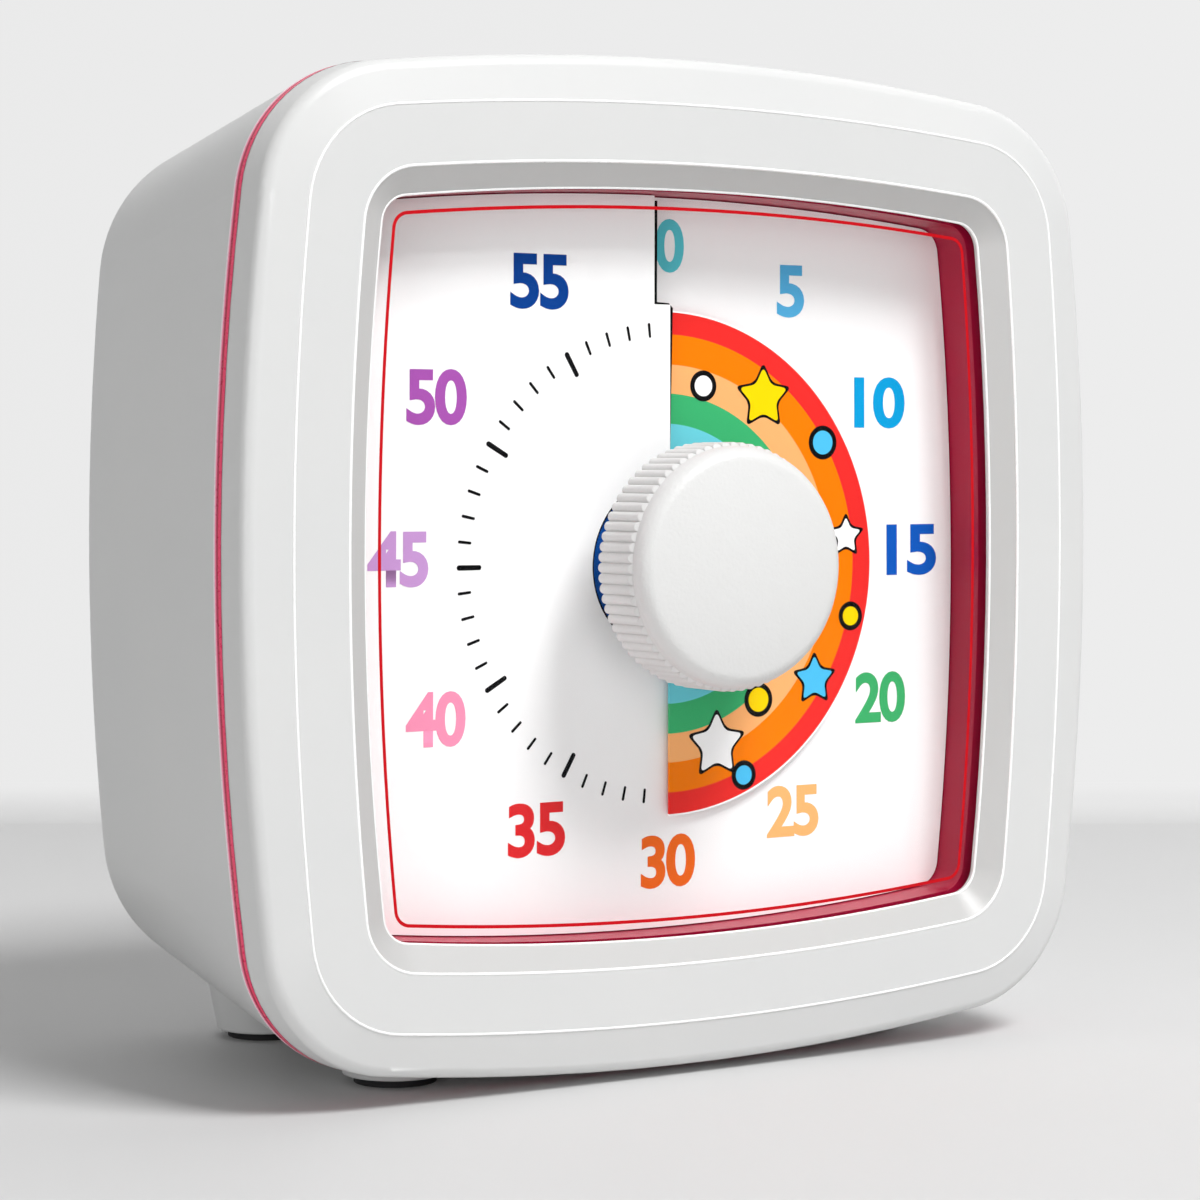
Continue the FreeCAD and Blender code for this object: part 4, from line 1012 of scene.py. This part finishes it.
@dataclass
class Pinstripe(Detail):
    """Thin red line printed on the window, just inside its edge."""

    outline: Outline = field(default_factory=lambda: Outline(28.42, 256.0, 1.4))
    width: float = 0.27
    depth: float = -4.612

    def build(self) -> None:
        """Draw the line as a closed band on the window's front."""
        piece = ring_mesh("window_line", self.outline.points(self.depth), True)
        bpy.ops.mesh.inset(thickness=self.width * MM, depth=0.0)
        bpy.ops.mesh.delete(type="FACE")
        leave_edit()
        face_viewer(piece)
        self.paint.stamp(piece, "ink_line", Ink.LINE_RED)
        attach(piece, "root")
        log.info("drew the window's red line")


@dataclass
class SeamBand(Detail):
    """Crimson flange where bezel and shell meet, as a band whose colour carries painted highlights towards
    its front and back edges and painted shade along its middle.
    """

    outline: Outline = field(default_factory=lambda: Outline(40.21, 224.0, 11.46, 48))
    front: float = -2.20
    back: float = -0.90
    # Colours along the band: the pale pinks at both ends are painted highlight, the dark crimson middle is
    # painted shade.
    stops: tuple = ((0.0, "F2316A"), (0.30, "FC3A6B"), (0.44, "B3163D"), (0.56, "B3163D"),
                    (0.70, "FF6C9C"), (1.0, "FF86B0"))

    def light_and_shade(self) -> NodeTree:
        """Make the band's painted light: painted shade along its middle and painted highlights towards its
        front and back edges.

        Returns:
            A group that gives the colour by place along the dial's axis.
        """
        edges = {"Front": DIAL_CENTRE.y + self.front * MM, "Back": DIAL_CENTRE.y + self.back * MM}
        tree = new_group("seam_light_and_shade", edges, {"Colour": "NodeSocketColor"})
        place = tree.nodes.new("ShaderNodeTexCoord")
        split = tree.nodes.new("ShaderNodeSeparateXYZ")
        across = tree.nodes.new("ShaderNodeMapRange")
        ramp = tree.nodes.new("ShaderNodeValToRGB")
        marks = ramp.color_ramp.elements
        for index, (position, ink) in enumerate(self.stops):
            mark = marks.new(position) if index else marks[0]
            mark.position = position
            mark.color = linear(ink)
        tree.links.new(place.outputs["Object"], split.inputs["Vector"])
        tree.links.new(split.outputs["Y"], across.inputs["Value"])
        tree.links.new(tree.nodes["in"].outputs["Front"], across.inputs["From Min"])
        tree.links.new(tree.nodes["in"].outputs["Back"], across.inputs["From Max"])
        tree.links.new(across.outputs["Result"], ramp.inputs["Fac"])
        tree.links.new(ramp.outputs["Color"], tree.nodes["out"].inputs["Colour"])
        return tree

    def material(self) -> Material:
        """Make the crimson, whose base colour is replaced by the band's painted light and shade.

        Returns:
            The finished material.
        """
        material = Finish("seam_crimson", Ink.CRIMSON, Ink.CRIMSON, 0.25, depth=0.001, shine=0.3).build()
        tree = material.node_tree
        strip = tree.nodes.new("ShaderNodeGroup")
        strip.node_tree = self.light_and_shade()
        # The band's colour is painted highlight and painted shade over the crimson.
        tree.links.new(strip.outputs["Colour"], tree.nodes["Principled BSDF"].inputs["Base Color"])
        return material

    def build(self) -> None:
        """Wrap the band round the case, level with the seam's widest line."""
        piece = ring_mesh("seam_band", self.outline.points(self.front), False)
        depth = (self.back - self.front) * MM
        bpy.ops.mesh.extrude_region_move(TRANSFORM_OT_translate={"value": (0.0, depth, 0.0)})
        bpy.ops.mesh.select_all(action="SELECT")
        bpy.ops.mesh.normals_make_consistent(inside=False)
        leave_edit()
        turn_faces(piece, lambda face: (face.calc_center_median() - DIAL_CENTRE).dot(face.normal))
        bpy.ops.object.shade_smooth()
        piece.data.materials.append(self.material())
        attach(piece, "root")
        log.info("wrapped the seam band")


@dataclass(frozen=True)
class Crest:
    """One crisp moulded edge of the bezel: its outline, depth and roundness in mm."""

    name: str
    outline: Outline
    depth: float
    round: float


@dataclass
class Crests(Detail):
    """The crests of the bezel, drawn as fine beads in a white brighter than the case: painted highlight
    lines along its edges.
    """

    crests: tuple = (
        Crest("ridge_crest", Outline(36.28, 266.0, 8.2), -6.40, 0.11),
        Crest("face_crest", Outline(31.68, 262.0, 4.7), -6.37, 0.13),
        Crest("lip_crest", Outline(29.75, 234.0, 2.3), -5.06, 0.11),
    )

    def build(self) -> None:
        """Run a fine round bead of painted highlight along each crest."""
        for crest in self.crests:
            piece = wire(crest.name, crest.outline.points(crest.depth), crest.round, True)
            # The bead's bright white is painted highlight.
            self.paint.dress(piece, "painted_highlight")
            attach(piece, "root")
        log.info("ran %d crests along the bezel", len(self.crests))


# The back


@dataclass
class BatterySpring(Detail):
    """Coiled contact that presses on the cell, wide at the bay's wall and narrow at the cell."""

    wire_round: float = 0.28
    wide: float = 3.1
    narrow: float = 1.9
    turns: float = 4.5
    steps: int = 22

    def build(self) -> None:
        """Wind the spring in the room of its plain stand-in."""
        low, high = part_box("battery_spring")
        middle = (low + high) / 2
        room = (low.x + self.wire_round * MM, high.x - self.wire_round * MM)
        wall, cell = room if middle.x < 0 else reversed(room)
        count = int(self.turns * self.steps)
        route = []
        for i in range(count + 1):
            share = i / count
            angle = FULL_TURN * self.turns * share
            radius = (self.wide + (self.narrow - self.wide) * share) * MM
            route.append(Vector((wall + (cell - wall) * share, middle.y + radius * math.cos(angle),
                                 middle.z + radius * math.sin(angle))))
        piece = wire("battery_spring_coil", route, self.wire_round, False)
        self.paint.dress(piece, "nickel")
        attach(piece, "root")
        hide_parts("battery_spring")
        log.info("wound the battery spring")


@dataclass
class BackMarks(Detail):
    """Grip ridges on the battery door and plain words at the alarm switch."""

    rear: float = 36.0
    ridge_half: tuple = (5.0, 0.25, 0.28)
    ridge_round: float = 0.2
    ridge_steps: int = 4
    crease: float = 40.0
    ridge_heights: tuple = (-12.6, -13.9, -15.2)
    words: tuple = (("OFF", -18.6, 17.3), ("ON", -9.6, 17.3))
    word_height: float = 1.7
    word_lift: float = 0.02

    def ridge(self) -> Object:
        """Model one grip ridge with round edges.

        Returns:
            The ridge at the origin.
        """
        clear_selection()
        bpy.ops.mesh.primitive_cube_add(size=2 * MM, location=(0.0, 0.0, 0.0))
        piece = bpy.context.object
        piece.scale = self.ridge_half
        apply_place(piece)
        bpy.ops.object.mode_set(mode="EDIT")
        bpy.ops.mesh.select_all(action="SELECT")
        bpy.ops.mesh.bevel(offset=self.ridge_round * MM, segments=self.ridge_steps, affect="EDGES")
        leave_edit()
        bpy.ops.object.shade_smooth_by_angle(angle=math.radians(self.crease))
        return piece

    def build(self) -> None:
        """Place the ridges and print the words."""
        master = self.ridge()
        for number, height in enumerate(self.ridge_heights):
            copy = place_piece(f"door_ridge_{number}", master.data.copy())
            copy.data.transform(Matrix.Translation(DIAL_CENTRE + Vector((0.0, self.rear, height)) * MM))
            self.paint.dress(copy, "white_plastic")
            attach(copy, "battery_door")
        bpy.data.objects.remove(master)
        for word, across, height in self.words:
            piece = flat_text(word, f"word_{word.lower()}", size=self.word_height * MM)
            piece.rotation_euler = FACE_BACK
            piece.location = DIAL_CENTRE + Vector((across, self.rear + self.word_lift, height)) * MM
            apply_place(piece)
            self.paint.stamp(piece, "ink_grey", Ink.GREY)
            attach(piece, "root")
        log.info("finished the back")


# The studio


@dataclass(frozen=True)
class Lamp:
    """Soft square lamp that looks at the timer: its place and side in metres and its strength."""

    name: str
    place: tuple
    size: float
    watts: float

    def hang(self) -> None:
        """Hang the lamp in its place."""
        clear_selection()
        aim = DIAL_CENTRE - Vector(self.place)
        bpy.ops.object.light_add(type="AREA", location=self.place,
                                 rotation=aim.to_track_quat("-Z", "Y").to_euler())
        lamp = bpy.context.object
        lamp.name = self.name
        lamp.data.shape = "SQUARE"
        lamp.data.size = self.size
        lamp.data.energy = self.watts


@dataclass
class Studio:
    """Pale sweep, soft lamps and the camera."""

    camera_place: tuple = (-0.13684, -0.224435, 0.04903)
    yaw: float = 31.67
    pitch: float = -2.54
    lens: float = 93.29
    sensor: float = 36.0
    clip: tuple = (0.01, 20.0)
    floor_reach: float = 0.424
    wall_height: float = 1.4
    sweep_width: float = 3.0
    fold: float = 0.005
    fold_steps: int = 8
    near: float = 0.001
    floor_ink: str = "CFCFCF"
    floor_gloss: float = 0.55
    wall_sides: tuple = (-0.16, 0.30)
    # Glow of the wall from left to right: painted light, brighter on the right.
    wall_painted_light: tuple = (0.80, 0.87)
    room_light: float = 0.21
    lamps: tuple = (
        Lamp("key_lamp", (0.14, -0.46, 0.70), 0.28, 6.3),
        Lamp("front_lamp", (-0.26, -0.74, 0.18), 0.40, 0.9),
        Lamp("left_lamp", (-0.68, -0.34, 0.14), 0.35, 1.15),
    )

    def camera(self) -> None:
        """Place the camera as the photographer did."""
        clear_selection()
        tilt = math.pi / 2 + math.radians(self.pitch)
        bpy.ops.object.camera_add(location=self.camera_place, rotation=(tilt, 0.0, -math.radians(self.yaw)))
        camera = bpy.context.object
        camera.data.sensor_width = self.sensor
        camera.data.lens = self.lens
        camera.data.clip_start, camera.data.clip_end = self.clip
        camera.data.dof.use_dof = False
        bpy.context.scene.camera = camera

    def sweep_material(self) -> Material:
        """Make the pale floor that turns into a wall which the camera sees glowing, as painted light a
        little brighter towards the right, and is clear from behind.

        Returns:
            The finished material.
        """
        pale = linear(self.floor_ink)
        material, _ = new_surface("studio_sweep", {"Colour": pale, "Drift": pale, "Gloss": self.floor_gloss})
        tree = material.node_tree
        shader = tree.nodes["Principled BSDF"]
        place = tree.nodes.new("ShaderNodeTexCoord")
        split = tree.nodes.new("ShaderNodeSeparateXYZ")
        rise = tree.nodes.new("ShaderNodeMapRange")
        set_inputs(rise, {"From Min": 0.0, "From Max": self.fold})
        rise.interpolation_type = "SMOOTHSTEP"
        across = tree.nodes.new("ShaderNodeMapRange")
        set_inputs(across, dict(zip(("From Min", "From Max", "To Min", "To Max"),
                                    self.wall_sides + self.wall_painted_light)))
        glow = tree.nodes.new("ShaderNodeEmission")
        path = tree.nodes.new("ShaderNodeLightPath")
        behind = tree.nodes.new("ShaderNodeNewGeometry")
        nothing = tree.nodes.new("ShaderNodeBsdfTransparent")
        tree.links.new(place.outputs["Object"], split.inputs["Vector"])
        tree.links.new(split.outputs["Z"], rise.inputs["Value"])
        tree.links.new(split.outputs["X"], across.inputs["Value"])
        # The wall's glow rises across it as painted light.
        tree.links.new(across.outputs["Result"], glow.inputs["Strength"])
        seen = sum_step(tree, "MULTIPLY", rise.outputs["Result"], path.outputs["Is Camera Ray"])
        shown = mix_shaders(tree, seen, shader.outputs["BSDF"], glow.outputs["Emission"])
        whole = mix_shaders(tree, behind.outputs["Backfacing"], shown, nothing.outputs["BSDF"])
        tree.links.new(whole, tree.nodes["Material Output"].inputs["Surface"])
        return material

    def sweep(self) -> None:
        """Lay the floor and fold it up into a wall behind the timer."""
        clear_selection()
        yaw = math.radians(self.yaw)
        ahead = Vector((math.sin(yaw), math.cos(yaw), 0.0))
        start = Vector((self.camera_place[0], self.camera_place[1], 0.0))
        far = start + ahead * self.floor_reach
        middle = far - ahead * self.sweep_width / 2
        bpy.ops.mesh.primitive_plane_add(size=self.sweep_width, location=middle, rotation=(0.0, 0.0, -yaw))
        floor = bpy.context.object
        floor.name = "studio_sweep"
        apply_place(floor)

        def at_wall(line: MeshEdge, top: float) -> bool:
            """Tell whether an edge lies in the wall and below a height."""
            ends = [floor.data.vertices[number].co for number in line.vertices]
            return all(end.dot(ahead) > far.dot(ahead) - self.near and end.z < top for end in ends)

        pick(floor, "EDGE", lambda line: at_wall(line, self.wall_height))
        bpy.ops.mesh.extrude_region_move(TRANSFORM_OT_translate={"value": (0.0, 0.0, self.wall_height)})
        pick(floor, "EDGE", lambda line: at_wall(line, self.near))
        bpy.ops.mesh.bevel(offset=self.fold, segments=self.fold_steps, affect="EDGES")
        leave_edit()
        towards = Vector((0.0, 0.0, 1.0)) - ahead
        turn_faces(floor, lambda face: face.normal.dot(towards))
        choose(floor)
        bpy.ops.object.shade_smooth()
        floor.data.materials.append(self.sweep_material())

    def build(self) -> None:
        """Set up the whole studio."""
        scene = bpy.context.scene
        scene.view_settings.view_transform = "Standard"
        world = scene.world or bpy.data.worlds.new("room")
        scene.world = world
        world.use_nodes = True
        set_inputs(world.node_tree.nodes["Background"],
                   {"Color": (1.0, 1.0, 1.0, 1.0), "Strength": self.room_light})
        self.sweep()
        for lamp in self.lamps:
            lamp.hang()
        self.camera()
        log.info("set up the studio")


def main() -> None:
    """Dress the timer piece by piece and light it."""
    logging.basicConfig(level=logging.INFO, format="%(message)s")
    paint = Paintbox()
    paint.dress_nodes()
    for detail in (DialPrint, DiscPrint, CutLine, Pinstripe, Crests, SeamBand, BatterySpring, BackMarks):
        detail(paint).build()
    Studio().build()


if __name__ == "__main__":
    main()
